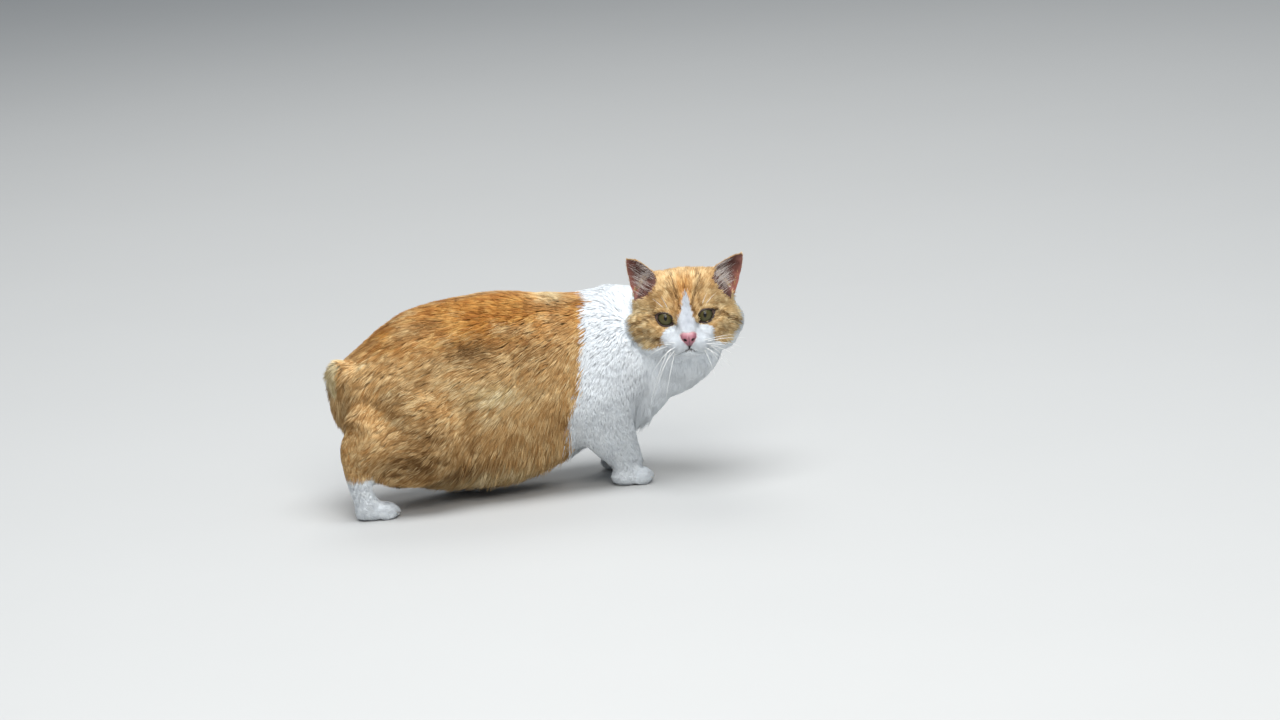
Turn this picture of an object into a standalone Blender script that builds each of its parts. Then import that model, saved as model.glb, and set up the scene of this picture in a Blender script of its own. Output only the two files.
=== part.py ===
# A manx cat, life size, standing low with the head turned to its right.
# Run it with: blender --background --python part.py
#
# Sizes are in millimetres and are scaled to metres where a mesh is made.
# +X runs along the body towards the chest, +Y to the cat's left, +Z up.
# The origin is on the floor, under the middle of the whole figure.
import math

import bmesh
import bpy
import numpy as np
from mathutils import Matrix, Vector

MM = 0.001
GAP = 0.3                 # left between two pieces that touch
BODY_MID = 23.5           # y of the body's middle plane
LEFT, RIGHT = 1, -1       # the cat's own left and right

# The flesh is fused from rounded masses, smoothed, then thinned
BODY_CELL, BODY_TRIANGLES, BODY_SOFTNESS = 2.6, 3800, 16
HEAD_CELL, HEAD_TRIANGLES, HEAD_SOFTNESS = 1.5, 2900, 10
PAW_DETAIL_BELOW = 30     # the softening fades out below this height

# Trunk sections: x, top, bottom, half width, height of the widest point
TRUNK = (
    (-207, 148, 92, 32, 121),
    (-196, 158, 74, 47, 118),
    (-174, 174, 50, 59, 113),
    (-151, 190, 32, 66, 107),
    (-134, 199, 22, 70, 102),
    (-102, 208, 13, 75, 97),
    (-69, 211, 11, 78, 95),
    (-27, 212, 12, 78, 97),
    (16, 206, 25, 74, 105),
    (58, 201, 42, 66, 114),
    (82, 203, 50, 61, 120),
    (106, 202, 52, 56, 126),
    (124, 192, 60, 50, 128),
    (140, 176, 72, 40, 126),
)
TRUNK_SQUARENESS = 2.12

# Neck sections: centre x, y, z, then half width, up and down radius
NECK = (
    (72, 23.5, 130, 58, 72, 72),
    (106, 22, 136, 56, 68, 66),
    (134, 14, 142, 53, 60, 62),
    (150, -4, 150, 52, 54, 58),
    (152, -28, 156, 46, 48, 48),
)

# The stump that stands where a tail would be
STUMP = {"centre": (-203, BODY_MID, 145), "size": (17, 17, 17), "parted_at": 20}

# Leg joints: x, outwards from the middle, z, half width, half depth
UPPER_ARM = (
    (98, 26, 152, 30, 40),
    (74, 48, 122, 28, 40),
    (50, 59, 94, 22, 35),
)
FOREARM = (
    (50, 59, 94, 22, 35),
    (62, 55, 66, 19, 32),
    (76, 47, 40, 16, 23),
    (86, 42, 22, 15, 17),
)
FORE_PAW = {"x": 88, "out": 41, "length": 46, "width": 39, "height": 19}
LEFT_FORE_AHEAD = 10      # how far the left fore leg stands before the right

# The right hind leg pushes back, the left one is drawn under the belly
RIGHT_THIGH = (
    (-156, 24, 130, 34, 42),
    (-138, 45, 108, 32, 42),
    (-116, 58, 78, 27, 36),
)
RIGHT_SHANK = (
    (-112, 59, 72, 27, 33),
    (-140, 60, 64, 25, 36),
    (-172, 57, 68, 21, 32),
    (-203, 53, 83, 14, 18),
)
RIGHT_FOOT = (
    (-207, 52, 90, 13, 15),
    (-207, 52, 64, 12.5, 14),
    (-203, 52, 38, 12.5, 13.5),
    (-197, 52, 15, 13.5, 13),
)
RIGHT_HIND_PAW = {"x": -187, "out": 52, "length": 48, "width": 34, "height": 19}
LEFT_THIGH = (
    (-146, 24, 132, 34, 42),
    (-104, 46, 116, 33, 44),
    (-60, 55, 96, 24, 34),
)
LEFT_SHANK = (
    (-56, 55, 90, 24, 31),
    (-92, 51, 76, 22, 27),
    (-134, 43, 68, 14, 17),
)
LEFT_FOOT = (
    (-138, 42, 70, 13, 15),
    (-118, 38, 46, 12.5, 14),
    (-90, 33, 18, 13.5, 13),
)
LEFT_HIND_PAW = {"x": -74, "out": 30, "length": 48, "width": 34, "height": 18}
PAW_SPACE = 24            # height of the rounded cut between a paw and its leg
LEG_ROOM = 4              # how far a leg's own flesh reaches outside its joints

# Where the trunk is parted, along X
CHEST_FROM, RUMP_TO = 24, -112
NECK_CUT = {"at": (106, 22, 140), "ahead": (0.93, -0.20, 0.31)}

# The head has its own frame: sideways to the cat's left, forwards, up, from
# the point midway between the eyes
HEAD = {"eyes_mid": (145, -71.5, 178), "turn": 11.5, "raise": 4.0, "tilt": 0.3}
# It parts along its own round outline, back to a slanted plane behind the ears
HEAD_SPACE = {"room": 3, "behind": (0, -52, 14), "slant": (0, 0.88, 0.47)}

# Head masses: centre and radii in the head's frame. Paired ones are mirrored
SKULL = (
    ((0, -42, 12), (45, 44, 36)),
    ((0, -32, 26), (42, 32, 23)),
    ((0, -19, 17), (29, 20, 22)),
    ((0, 5, -22), (19, 19, 13)),
    ((0, 9, -33.5), (12, 11, 8)),
    ((0, -9, -29), (25, 27, 13)),
    ((0, -40, -24), (36, 36, 24)),
    ((0, 21.0, -19.5), (9, 7.5, 7.5)),
)
SKULL_PAIRS = (
    ((20, -34, 26), (25, 30, 21.5)),
    ((27, -18, -11), (20, 19, 16)),
    ((36, -34, -9), (26, 27, 26)),
    ((28, -32, -25), (26, 25, 18)),
    ((15, -5, -22), (14, 17, 10)),
    ((10.5, 13.0, -26), (14.5, 13, 9.8)),
    ((18, -15, 13), (18, 12, 11)),
    ((31, -36, 13), (23, 26, 25)),
    ((11, -8, -3), (9, 10, 11)),
)
# Nose bridge: forwards, up, half width, half height
BRIDGE = (
    (-18, 12, 14, 11),
    (-4, 2, 11.5, 9.5),
    (8, -6.5, 9.5, 8.5),
    (18.5, -14.5, 8.5, 8),
)

EYE = {"out": 20.5, "forward": -10.8, "up": -0.5, "radius": 10.7}
LID_THICKNESS = 1.6
# Opening between the lids, seen along the gaze: outwards and up of each point
LID_OPENING = (
    (9.2, 3.4), (6.4, 6.0), (1.8, 6.6), (-2.8, 4.6), (-6.4, -0.6),
    (-8.2, -6.4), (-4.4, -7.6), (0.6, -8.2), (5.4, -6.4), (8.6, -1.6),
)
# Both eyes look at one point far off, where a viewer stands
GAZE_AT = (-1646, -7046, 1536)

# Nose leather: half of its outline, sideways and up, from the top down
NOSE_OUTLINE = ((0, -14.2), (5.0, -13.4), (8.2, -15.6), (7.6, -19.4), (4.4, -23.6), (1.4, -27))
NOSE_DEPTH = (17, 45)     # forwards, from the back of the leather to past its tip
NOSTRIL = {"centre": (4.4, 29.5, -20.8), "size": (1.9, 4.2, 1.5)}
# Lines on the muzzle, sideways and up; their depth is read off the face
MOUTH = ((0, -31.5), (6, -33.6), (12, -35.6), (17, -36.2), (22, -35.0))
PHILTRUM = ((0, -26.5), (0, -29.0), (0, -32.0))
LIP_GAP = 1.1             # radius of the line between the lips

# Ears: inner and outer end of the base, and the tip, sideways from the middle
EARS = {
    LEFT: ((31, -31, 43), (55, -39, 14), (67, -42, 57)),
    RIGHT: ((31, -31, 49), (50, -39, 18), (55, -42, 64)),
}
EAR_ROOT = -0.30          # how far the ear goes on into the head, of its height
EAR_CUP = 17              # depth of the cup at its base
EAR_THICKNESS = 2.6

# Colours, in linear light
ORANGE = (0.42, 0.20, 0.060)
CREAM = (0.55, 0.42, 0.24)
WHITE = (0.80, 0.79, 0.76)
EAR_PINK = (0.46, 0.22, 0.17)
NOSE_PINK = (0.48, 0.17, 0.18)
OLIVE = (0.13, 0.13, 0.045)


def clear_scene():
    for obj in list(bpy.data.objects):
        bpy.data.objects.remove(obj, do_unlink=True)


def make_collection(name, hidden=False):
    collection = bpy.data.collections.new(name)
    collection.hide_render = hidden
    bpy.context.scene.collection.children.link(collection)
    return collection


def mesh_object(name, mesh, collection):
    obj = bpy.data.objects.new(name, mesh)
    collection.objects.link(obj)
    if collection.hide_render:
        obj.hide_render = True
        obj.display_type = "WIRE"
    return obj


def applied(obj):
    """A new object in obj's place, with its modifiers applied to its mesh."""
    bpy.context.view_layer.update()
    graph = bpy.context.evaluated_depsgraph_get()
    mesh = bpy.data.meshes.new_from_object(obj.evaluated_get(graph))
    mesh.transform(obj.matrix_world)
    name, collection = obj.name, obj.users_collection[0]
    bpy.data.objects.remove(obj, do_unlink=True)
    return mesh_object(name, mesh, collection)


def shaped_by(work, name, collection, place=None):
    """An object from a bmesh that is in millimetres."""
    matrix = Matrix.Scale(MM, 4)
    if place is not None:
        matrix = matrix @ place
    bmesh.ops.transform(work, matrix=matrix, verts=work.verts)
    bmesh.ops.recalc_face_normals(work, faces=work.faces)
    mesh = bpy.data.meshes.new(name)
    work.to_mesh(mesh)
    work.free()
    return mesh_object(name, mesh, collection)


def smooth_rows(rows, steps):
    """Rows on a smooth curve through the given ones, so many steps to each span."""
    rows = np.array(rows, float)
    spans = np.linalg.norm(np.diff(rows[:, :3], axis=0), axis=1)
    slopes = np.gradient(rows, np.concatenate([[0], np.cumsum(spans)]), axis=0)
    out = []
    for i, span in enumerate(spans):
        start, end = rows[i], rows[i + 1]
        for t in np.arange(steps) / steps:
            out.append((1 + 2 * t) * (1 - t) ** 2 * start + t * (1 - t) ** 2 * span * slopes[i]
                       + t * t * (3 - 2 * t) * end - t * t * (1 - t) * span * slopes[i + 1])
    out.append(rows[-1])
    return np.array(out)


def loft(name, rows, collection, level="side", steps=4, sides=24, power=2.0, cap=0.45,
         grow=0.0, place=None):
    """A closed body through sections: centre x, y, z, half width, up and down radius.

    A section's width stays level with the floor. With level="up" its height stays
    in an upright plane, and with level="cross" it stands square across X. Both
    ends are rounded off by cap, of their radius."""
    rows = smooth_rows(rows, steps)
    centres = rows[:, :3]
    ways = np.gradient(centres, axis=0)
    if level == "cross":
        ways[:] = (1, 0, 0)
    ways /= np.linalg.norm(ways, axis=1)[:, None]
    angles = np.linspace(0, 2 * math.pi, sides, endpoint=False)
    across = np.sign(np.cos(angles)) * np.abs(np.cos(angles)) ** (2 / power)
    upright = np.sign(np.sin(angles)) * np.abs(np.sin(angles)) ** (2 / power)

    def ring(centre, way, radii, size=1.0):
        guide = np.array([0.0, 0.0, 1.0] if level == "up" else [0.0, 1.0, 0.0])
        guide -= way * guide.dot(way)
        guide /= np.linalg.norm(guide)
        side, top = (guide, np.cross(way, guide))
        if level == "up":
            side, top = np.cross(guide, way), guide
        half, up, down = radii + grow
        height = np.where(upright > 0, up, down) * upright
        return centre + size * (np.outer(across * half, side) + np.outer(height, top))

    rings = []
    poles = []
    for end, sign in ((0, -1), (-1, 1)):
        reach = cap * rows[end, 4:6].mean() + grow
        outer = []
        for size, out in ((0.92, 0.38), (0.62, 0.76)):
            at = centres[end] + sign * ways[end] * reach * out
            outer.append(ring(at, ways[end], rows[end, 3:6], size))
        poles.append(centres[end] + sign * ways[end] * reach)
        if sign < 0:
            rings += outer[::-1]
            rings += [ring(c, w, r[3:6]) for c, w, r in zip(centres, ways, rows)]
        else:
            rings += outer

    work = bmesh.new()
    grid = [[work.verts.new(point) for point in points] for points in rings]
    first, last = (work.verts.new(point) for point in poles)
    for j in range(sides):
        k = (j + 1) % sides
        for one, two in zip(grid, grid[1:]):
            work.faces.new((one[j], one[k], two[k], two[j]))
        work.faces.new((first, grid[0][k], grid[0][j]))
        work.faces.new((last, grid[-1][j], grid[-1][k]))
    return shaped_by(work, name, collection, place)


def ball(name, centre, size, collection, place=None, segments=28, rings=18, grow=0.0):
    work = bmesh.new()
    bmesh.ops.create_uvsphere(work, u_segments=segments, v_segments=rings, radius=1)
    radii = [radius + grow for radius in size]
    own = Matrix.Translation(Vector(centre)) @ Matrix.Diagonal((*radii, 1))
    return shaped_by(work, name, collection, own if place is None else place @ own)


def block(name, low, high, collection, place=None, grow=0.0):
    """A box between two corners."""
    room = Vector((grow, grow, grow))
    low, high = Vector(low) - room, Vector(high) + room
    work = bmesh.new()
    bmesh.ops.create_cube(work, size=1)
    own = Matrix.Translation((low + high) / 2) @ Matrix.Diagonal((*(high - low), 1))
    return shaped_by(work, name, collection, own if place is None else place @ own)


def prism(name, outline, near, far, collection, place, grow=0.0):
    """A flat outline, given sideways and up, carried forwards from near to far."""
    points = np.array(outline, float)
    outwards = points - points.mean(axis=0)
    points = points + outwards / np.linalg.norm(outwards, axis=1)[:, None] * grow
    curve = bpy.data.curves.new(name, "CURVE")
    curve.dimensions = "2D"
    curve.fill_mode = "BOTH"
    curve.extrude = (far - near) / 2 + grow
    spline = curve.splines.new("POLY")
    spline.points.add(len(points) - 1)
    for point, (side, up) in zip(spline.points, points):
        point.co = (side, up, 0, 1)
    spline.use_cyclic_u = True
    flat = bpy.data.objects.new(name, curve)
    collection.objects.link(flat)
    solid = applied(flat)
    work = bmesh.new()
    work.from_mesh(solid.data)
    bpy.data.objects.remove(solid, do_unlink=True)
    bmesh.ops.remove_doubles(work, verts=work.verts, dist=0.01)
    upright = Matrix(((1, 0, 0, 0), (0, 0, 1, (near + far) / 2), (0, 1, 0, 0), (0, 0, 0, 1)))
    return shaped_by(work, name, collection, place @ upright)


def boolean(obj, other, operation):
    """obj changed by other, which goes."""
    modifier = obj.modifiers.new(operation.lower(), "BOOLEAN")
    modifier.operation = operation
    modifier.object = other
    modifier.solver = "EXACT"
    result = applied(obj)
    bpy.data.objects.remove(other, do_unlink=True)
    return result


def copy_of(obj, name, collection):
    return mesh_object(name, obj.data.copy(), collection)


def keep_largest(obj):
    """Drop every loose scrap, and leave the one largest closed surface."""
    work = bmesh.new()
    work.from_mesh(obj.data)
    left = set(work.faces)
    islands = []
    while left:
        island = []
        reach = [left.pop()]
        while reach:
            face = reach.pop()
            island.append(face)
            for edge in face.edges:
                for other in edge.link_faces:
                    if other in left:
                        left.remove(other)
                        reach.append(other)
        islands.append(island)
    islands.sort(key=len, reverse=True)
    scraps = [face for island in islands[1:] for face in island]
    bmesh.ops.delete(work, geom=scraps, context="FACES")
    work.to_mesh(obj.data)
    work.free()


def fuse(name, pieces, cell, triangles, softness, collection):
    """One smooth skin round overlapping masses, thinned to about so many triangles."""
    work = bmesh.new()
    for piece in pieces:
        work.from_mesh(piece.data)
        bpy.data.objects.remove(piece, do_unlink=True)
    mesh = bpy.data.meshes.new(name)
    work.to_mesh(mesh)
    work.free()
    obj = mesh_object(name, mesh, collection)
    remesh = obj.modifiers.new("fuse", "REMESH")
    remesh.mode = "VOXEL"
    remesh.voxel_size = cell * MM
    obj = applied(obj)

    group = obj.vertex_groups.new(name="soft")
    for vertex in obj.data.vertices:
        height = vertex.co.z / MM / PAW_DETAIL_BELOW
        group.add([vertex.index], min(1.0, max(0.15, height)), "REPLACE")
    soften = obj.modifiers.new("soften", "SMOOTH")
    soften.factor = 0.5
    soften.iterations = softness
    soften.vertex_group = "soft"
    obj = applied(obj)

    thin = obj.modifiers.new("thin", "DECIMATE")
    thin.ratio = triangles / (2 * len(obj.data.polygons))
    thin.use_collapse_triangulate = True
    return applied(obj)


def part_off(flesh, name, region, parts):
    """Part a node off the flesh, with a gap left between the two."""
    piece = copy_of(flesh, name, parts)
    piece = boolean(piece, region(0.0), "INTERSECT")
    keep_largest(piece)
    flesh = boolean(flesh, region(GAP), "DIFFERENCE")
    keep_largest(flesh)
    return flesh


def hull_round(pieces, work):
    """The convex hull round some objects, which go."""
    hull = bmesh.new()
    for piece in pieces:
        for vertex in piece.data.vertices:
            hull.verts.new(vertex.co / MM)
        bpy.data.objects.remove(piece, do_unlink=True)
    bmesh.ops.convex_hull(hull, input=hull.verts)
    inside = [vertex for vertex in hull.verts if not vertex.link_faces]
    bmesh.ops.delete(hull, geom=inside, context="VERTS")
    return shaped_by(hull, "space", work)


def leg_rows(joints, side, shift):
    return [(x + shift, BODY_MID + side * out, z, half, depth, depth)
            for x, out, z, half, depth in joints]


def leg_space(joints, side, shift, grow, work):
    """A plain rounded space about a stretch of leg, for parting it off."""
    rows = leg_rows(joints, side, shift)
    rings = loft("rings", rows, work, steps=1, sides=8, grow=grow + LEG_ROOM)
    return hull_round([rings], work)


def paw_pieces(sizes, side, shift, work):
    """Four toes before a palm, set a little low so that the floor cuts them flat."""
    x, y = sizes["x"] + shift, BODY_MID + side * sizes["out"]
    length, half, height = sizes["length"], sizes["width"] / 2, sizes["height"]
    middle = height * 0.45
    pieces = [
        ball("palm", (x - length * 0.12, y, middle * 1.05),
             (length * 0.37, half * 0.82, height * 0.56), work),
        ball("palm", (x + length * 0.12, y, middle),
             (length * 0.24, half * 0.84, height * 0.52), work),
    ]
    for outwards, ahead in ((-0.72, 0.17), (-0.26, 0.27), (0.26, 0.27), (0.72, 0.17)):
        centre = (x + length * ahead, y + half * outwards, middle * 0.90)
        size = (length * 0.23, half * 0.275, height * 0.47)
        pieces.append(ball("toe", centre, size, work))
    return pieces


def legs():
    """Name, joints, side and shift of each stretch of leg, from the paws up."""
    ahead = LEFT_FORE_AHEAD
    return (
        ("forearm_right", FOREARM, RIGHT, 0),
        ("forearm_left", FOREARM, LEFT, ahead),
        ("upper_arm_right", UPPER_ARM, RIGHT, 0),
        ("upper_arm_left", UPPER_ARM, LEFT, ahead),
        ("hind_foot_right", RIGHT_FOOT, RIGHT, 0),
        ("hind_foot_left", LEFT_FOOT, LEFT, 0),
        ("shank_right", RIGHT_SHANK, RIGHT, 0),
        ("shank_left", LEFT_SHANK, LEFT, 0),
        ("thigh_right", RIGHT_THIGH, RIGHT, 0),
        ("thigh_left", LEFT_THIGH, LEFT, 0),
    )


def paws():
    return (
        ("front_paw_right", FORE_PAW, RIGHT, 0),
        ("front_paw_left", FORE_PAW, LEFT, LEFT_FORE_AHEAD),
        ("hind_paw_right", RIGHT_HIND_PAW, RIGHT, 0),
        ("hind_paw_left", LEFT_HIND_PAW, LEFT, 0),
    )


def neck_mass(work):
    return loft("neck", NECK, work, level="up")


def trunk_masses(work):
    rows = [(x, BODY_MID, widest, half, top - widest, widest - bottom)
            for x, top, bottom, half, widest in TRUNK]
    return [
        loft("trunk", rows, work, "cross", power=TRUNK_SQUARENESS, cap=0.3, sides=32),
        ball("stump", STUMP["centre"], STUMP["size"], work),
    ]


def limb_masses(work):
    pieces = []
    for name, joints, side, shift in legs():
        pieces.append(loft(name, leg_rows(joints, side, shift), work))
    for _, sizes, side, shift in paws():
        pieces += paw_pieces(sizes, side, shift, work)
    return pieces


def aimed(at, way, tilt=0.0):
    """A frame at a point: sideways to the left, along way, and up."""
    forward = Vector(way).normalized()
    side = Vector((0, 0, 1)).cross(forward).normalized()
    up = forward.cross(side)
    side, up = (side * math.cos(tilt) + up * math.sin(tilt),
                up * math.cos(tilt) - side * math.sin(tilt))
    turned = Matrix((side, forward, up)).transposed().to_4x4()
    return Matrix.Translation(Vector(at)) @ turned


def head_frame():
    """Millimetres in the head's frame to millimetres in the body's."""
    turn, lift, tilt = (math.radians(HEAD[name]) for name in ("turn", "raise", "tilt"))
    way = Vector((-math.sin(turn) * math.cos(lift), -math.cos(turn) * math.cos(lift),
                  math.sin(lift)))
    return aimed(HEAD["eyes_mid"], way, tilt)


def skull_balls(work, segments=28, rings=18, grow=0.0):
    place = head_frame()
    balls = list(SKULL)
    for (out, forward, up), size in SKULL_PAIRS:
        balls += [((out * side, forward, up), size) for side in (LEFT, RIGHT)]
    return [ball("skull", centre, size, work, place, segments, rings, grow)
            for centre, size in balls]


def head_masses(work):
    rows = [(0, forward, up, half, high, high) for forward, up, half, high in BRIDGE]
    bridge = loft("bridge", rows, work, level="up", place=head_frame())
    return skull_balls(work) + [bridge]


def head_space(grow, work):
    """The room of the head, for parting it off."""
    space = hull_round(skull_balls(work, 10, 7, HEAD_SPACE["room"] + grow), work)
    plane = head_frame() @ aimed(HEAD_SPACE["behind"], HEAD_SPACE["slant"])
    behind = block("behind", (-200, -200, -200), (200, -grow, 200), work, plane)
    return boolean(space, behind, "DIFFERENCE")


def eye_centre(side):
    return head_frame() @ Vector((side * EYE["out"], EYE["forward"], EYE["up"]))


def closed_curve(points, steps=3):
    """The outline smoothed through its points, back to the first."""
    points = list(points)
    around = points[-1:] + points + points[:2]
    smooth = smooth_rows(around, steps)
    return smooth[steps:steps + len(points) * steps]


def make_eyes_and_lids(head, parts, work):
    """Two round eyes, each in its socket behind a pair of lids."""
    for side, name in ((LEFT, "eye_left"), (RIGHT, "eye_right")):
        centre = eye_centre(side)
        radius = EYE["radius"]
        lid = radius + GAP + LID_THICKNESS
        mound = ball("lid", centre, (lid,) * 3, work, segments=20, rings=12)
        head = boolean(head, mound, "UNION")
        socket = radius + GAP
        hollow = ball("socket", centre, (socket,) * 3, work, segments=18, rings=11)
        head = boolean(head, hollow, "DIFFERENCE")
        gaze = aimed(centre, Vector(GAZE_AT) - centre)
        outline = closed_curve([(out * side, up) for out, up in LID_OPENING])
        opening = prism("opening", outline, 0, 30, work, gaze)
        head = boolean(head, opening, "DIFFERENCE")
        ball(name, centre, (radius,) * 3, parts, segments=18, rings=11)
    return head


def make_nose(flesh, head, parts, work):
    """The nose leather with its nostrils, let into the head."""
    half = list(NOSE_OUTLINE)
    outline = half + [(-side, up) for side, up in reversed(half[1:])]
    place = head_frame()
    piece = copy_of(flesh, "nose", parts)
    piece = boolean(piece, prism("leather", outline, *NOSE_DEPTH, work, place), "INTERSECT")
    head = boolean(head, prism("leather", outline, *NOSE_DEPTH, work, place, GAP), "DIFFERENCE")
    for side in (LEFT, RIGHT):
        out, forward, up = NOSTRIL["centre"]
        hole = ball("nostril", (side * out, forward, up), NOSTRIL["size"], work, place,
                    segments=12, rings=8)
        piece = boolean(piece, hole, "DIFFERENCE")
    keep_largest(piece)
    return head


def on_face(head, side, up):
    """The point of the face that lies straight ahead at this place."""
    place = head_frame()
    start = place @ Vector((side, 60, up))
    back = place.to_3x3() @ Vector((0, -1, 0))
    point = head.ray_cast(start * MM, back)[1] / MM
    return place.inverted() @ point


def make_mouth(head, work):
    """The line between the lips, and the groove that runs down to it."""
    place = head_frame()
    lips = [(-side, up) for side, up in reversed(MOUTH[1:])] + list(MOUTH)
    for name, line, level in (("lips", lips, "up"), ("cleft", PHILTRUM, "side")):
        rows = [(*on_face(head, side, up), LIP_GAP, LIP_GAP, LIP_GAP) for side, up in line]
        groove = loft(name, rows, work, level=level, steps=2, sides=6, cap=1, place=place)
        head = boolean(head, groove, "DIFFERENCE")
    return head


def make_ears(head, parts, work):
    """Each ear is a thin cupped leaf that is open forwards and outwards."""
    for side, name in ((LEFT, "ear_left"), (RIGHT, "ear_right")):
        inner, outer, tip = (Vector(point) for point in EARS[side])
        base, half = (inner + outer) / 2, (outer - inner) / 2
        axis = tip - base
        open_to = half.cross(axis).normalized()
        if open_to.y < 0:
            open_to.negate()
        leaf = bmesh.new()
        bmesh.ops.create_grid(leaf, x_segments=8, y_segments=9, size=1)
        for vertex in leaf.verts:
            across, along = vertex.co.x, EAR_ROOT + (0.985 - EAR_ROOT) * (vertex.co.y + 1) / 2
            width = min(1.15, (1 - along) ** 0.72)
            depth = EAR_CUP * (1 - along) ** 0.8 * (1 - across * across)
            point = base + axis * along + half * across * width - open_to * depth
            vertex.co = (point.x * side, point.y, point.z)
        ear = shaped_by(leaf, name, parts, head_frame())
        wall = ear.modifiers.new("wall", "SOLIDIFY")
        wall.thickness = EAR_THICKNESS * MM
        wall.offset = 0
        wall.use_even_offset = True
        ear = applied(ear)
        room = copy_of(head, "room", work)
        swell = room.modifiers.new("swell", "DISPLACE")
        swell.strength = GAP * MM
        swell.mid_level = 0
        ear = boolean(ear, applied(room), "DIFFERENCE")
        keep_largest(ear)


def make_head(flesh, parts, work):
    head = copy_of(flesh, "head", parts)
    head = boolean(head, head_space(0.0, work), "INTERSECT")
    make_ears(head, parts, work)
    head = make_nose(flesh, head, parts, work)
    head = make_mouth(head, work)
    head = make_eyes_and_lids(head, parts, work)
    keep_largest(head)


def make_body(flesh, parts, work):
    """Part the paws, legs, neck, stump and the three lengths of the trunk."""
    floor = block("floor", (-400, -300, -100), (400, 300, 0), work)
    flesh = boolean(flesh, floor, "DIFFERENCE")
    flesh = boolean(flesh, head_space(GAP, work), "DIFFERENCE")
    keep_largest(flesh)

    for name, sizes, side, shift in paws():
        centre = (sizes["x"] + shift, BODY_MID + side * sizes["out"], 0)
        size = (sizes["length"] * 0.66, sizes["width"] * 0.68, PAW_SPACE)

        def region(grow):
            return ball("region", centre, size, work, segments=12, rings=8, grow=grow)

        flesh = part_off(flesh, name, region, parts)

    for name, joints, side, shift in legs():
        def region(grow):
            return leg_space(joints, side, shift, grow, work)

        flesh = part_off(flesh, name, region, parts)

    flesh = part_off(flesh, "tail_stump", lambda grow: ball(
        "region", STUMP["centre"], (STUMP["parted_at"],) * 3, work, segments=14, rings=8,
        grow=grow), parts)
    cut = aimed(NECK_CUT["at"], NECK_CUT["ahead"])
    flesh = part_off(flesh, "neck", lambda grow: block(
        "region", (-200, 0, -200), (200, 200, 200), work, cut, grow), parts)
    flesh = part_off(flesh, "chest", lambda grow: block(
        "region", (CHEST_FROM, -200, -10), (300, 200, 300), work, grow=grow), parts)
    flesh = part_off(flesh, "rump", lambda grow: block(
        "region", (-300, -200, -10), (RUMP_TO, 200, 300), work, grow=grow), parts)
    belly = copy_of(flesh, "belly", parts)
    bpy.data.objects.remove(flesh, do_unlink=True)
    keep_largest(belly)


def material(name, colour, roughness):
    made = bpy.data.materials.new(name)
    made.use_nodes = True
    shader = made.node_tree.nodes["Principled BSDF"]
    shader.inputs["Base Color"].default_value = (*colour, 1)
    shader.inputs["Roughness"].default_value = roughness
    return made


def dress(parts):
    """Give each node its own material, and smooth shading."""
    looks = {
        "belly": (ORANGE, 0.85), "rump": (ORANGE, 0.85), "thigh": (ORANGE, 0.85),
        "shank": (ORANGE, 0.85), "tail": (CREAM, 0.85), "head": (ORANGE, 0.85),
        "ear": (EAR_PINK, 0.8), "eye": (OLIVE, 0.1), "nose": (NOSE_PINK, 0.45),
    }
    for obj in parts.objects:
        colour, roughness = looks.get(obj.name.split("_")[0], (WHITE, 0.85))
        obj.data.materials.clear()
        obj.data.materials.append(material(obj.name + "_coat", colour, roughness))
        obj.data.shade_smooth()
        obj.data.set_sharp_from_angle(angle=math.radians(50))


def main():
    clear_scene()
    parts = make_collection("manx_cat")
    work = make_collection("cutters", hidden=True)
    fine = fuse("fine", [neck_mass(work)] + head_masses(work),
                HEAD_CELL, HEAD_TRIANGLES, HEAD_SOFTNESS, work)
    make_head(fine, parts, work)
    bpy.data.objects.remove(fine, do_unlink=True)
    masses = [neck_mass(work)] + head_masses(work) + trunk_masses(work) + limb_masses(work)
    coarse = fuse("coarse", masses, BODY_CELL, BODY_TRIANGLES, BODY_SOFTNESS, work)
    make_body(coarse, parts, work)
    dress(parts)


main()
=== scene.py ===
# The looks of a life-size manx cat: one skin, a coat of tufts over it, eyes,
# nose leather, whiskers and claws, on a plain pale floor. Places and sizes are
# in millimetres, and become metres where a mesh is made.
import math

import bmesh
import bpy
import numpy as np
from mathutils import Matrix, Vector
from mathutils.bvhtree import BVHTree
from mathutils.kdtree import KDTree


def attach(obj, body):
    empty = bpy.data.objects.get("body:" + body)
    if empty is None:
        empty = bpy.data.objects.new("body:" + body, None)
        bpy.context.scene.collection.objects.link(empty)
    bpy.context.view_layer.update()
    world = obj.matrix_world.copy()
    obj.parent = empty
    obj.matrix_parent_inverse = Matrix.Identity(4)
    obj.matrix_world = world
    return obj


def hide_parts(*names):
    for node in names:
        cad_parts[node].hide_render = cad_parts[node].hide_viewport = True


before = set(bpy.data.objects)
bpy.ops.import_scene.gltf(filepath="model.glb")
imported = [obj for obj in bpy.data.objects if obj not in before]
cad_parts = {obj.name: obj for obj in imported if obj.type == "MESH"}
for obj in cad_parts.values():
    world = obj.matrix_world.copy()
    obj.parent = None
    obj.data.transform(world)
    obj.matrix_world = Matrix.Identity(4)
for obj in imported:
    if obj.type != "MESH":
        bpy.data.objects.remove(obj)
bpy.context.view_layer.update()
print("frame loaded:", len(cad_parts), "nodes")

mm = 0.001
bodyMid = 23.5                       # y of the body's middle plane
stage = bpy.context.scene.collection


# Small helpers for arrays of points

def unit(rows):
    rows = np.asarray(rows, float)
    return rows / np.maximum(np.linalg.norm(rows, axis=-1, keepdims=True), 1e-9)


def ease(values, low, high):         # 0 up to low, 1 from high on, smooth between
    t = np.clip((np.asarray(values, float) - low) / (high - low), 0, 1)
    return t * t * (3 - 2 * t)


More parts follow.
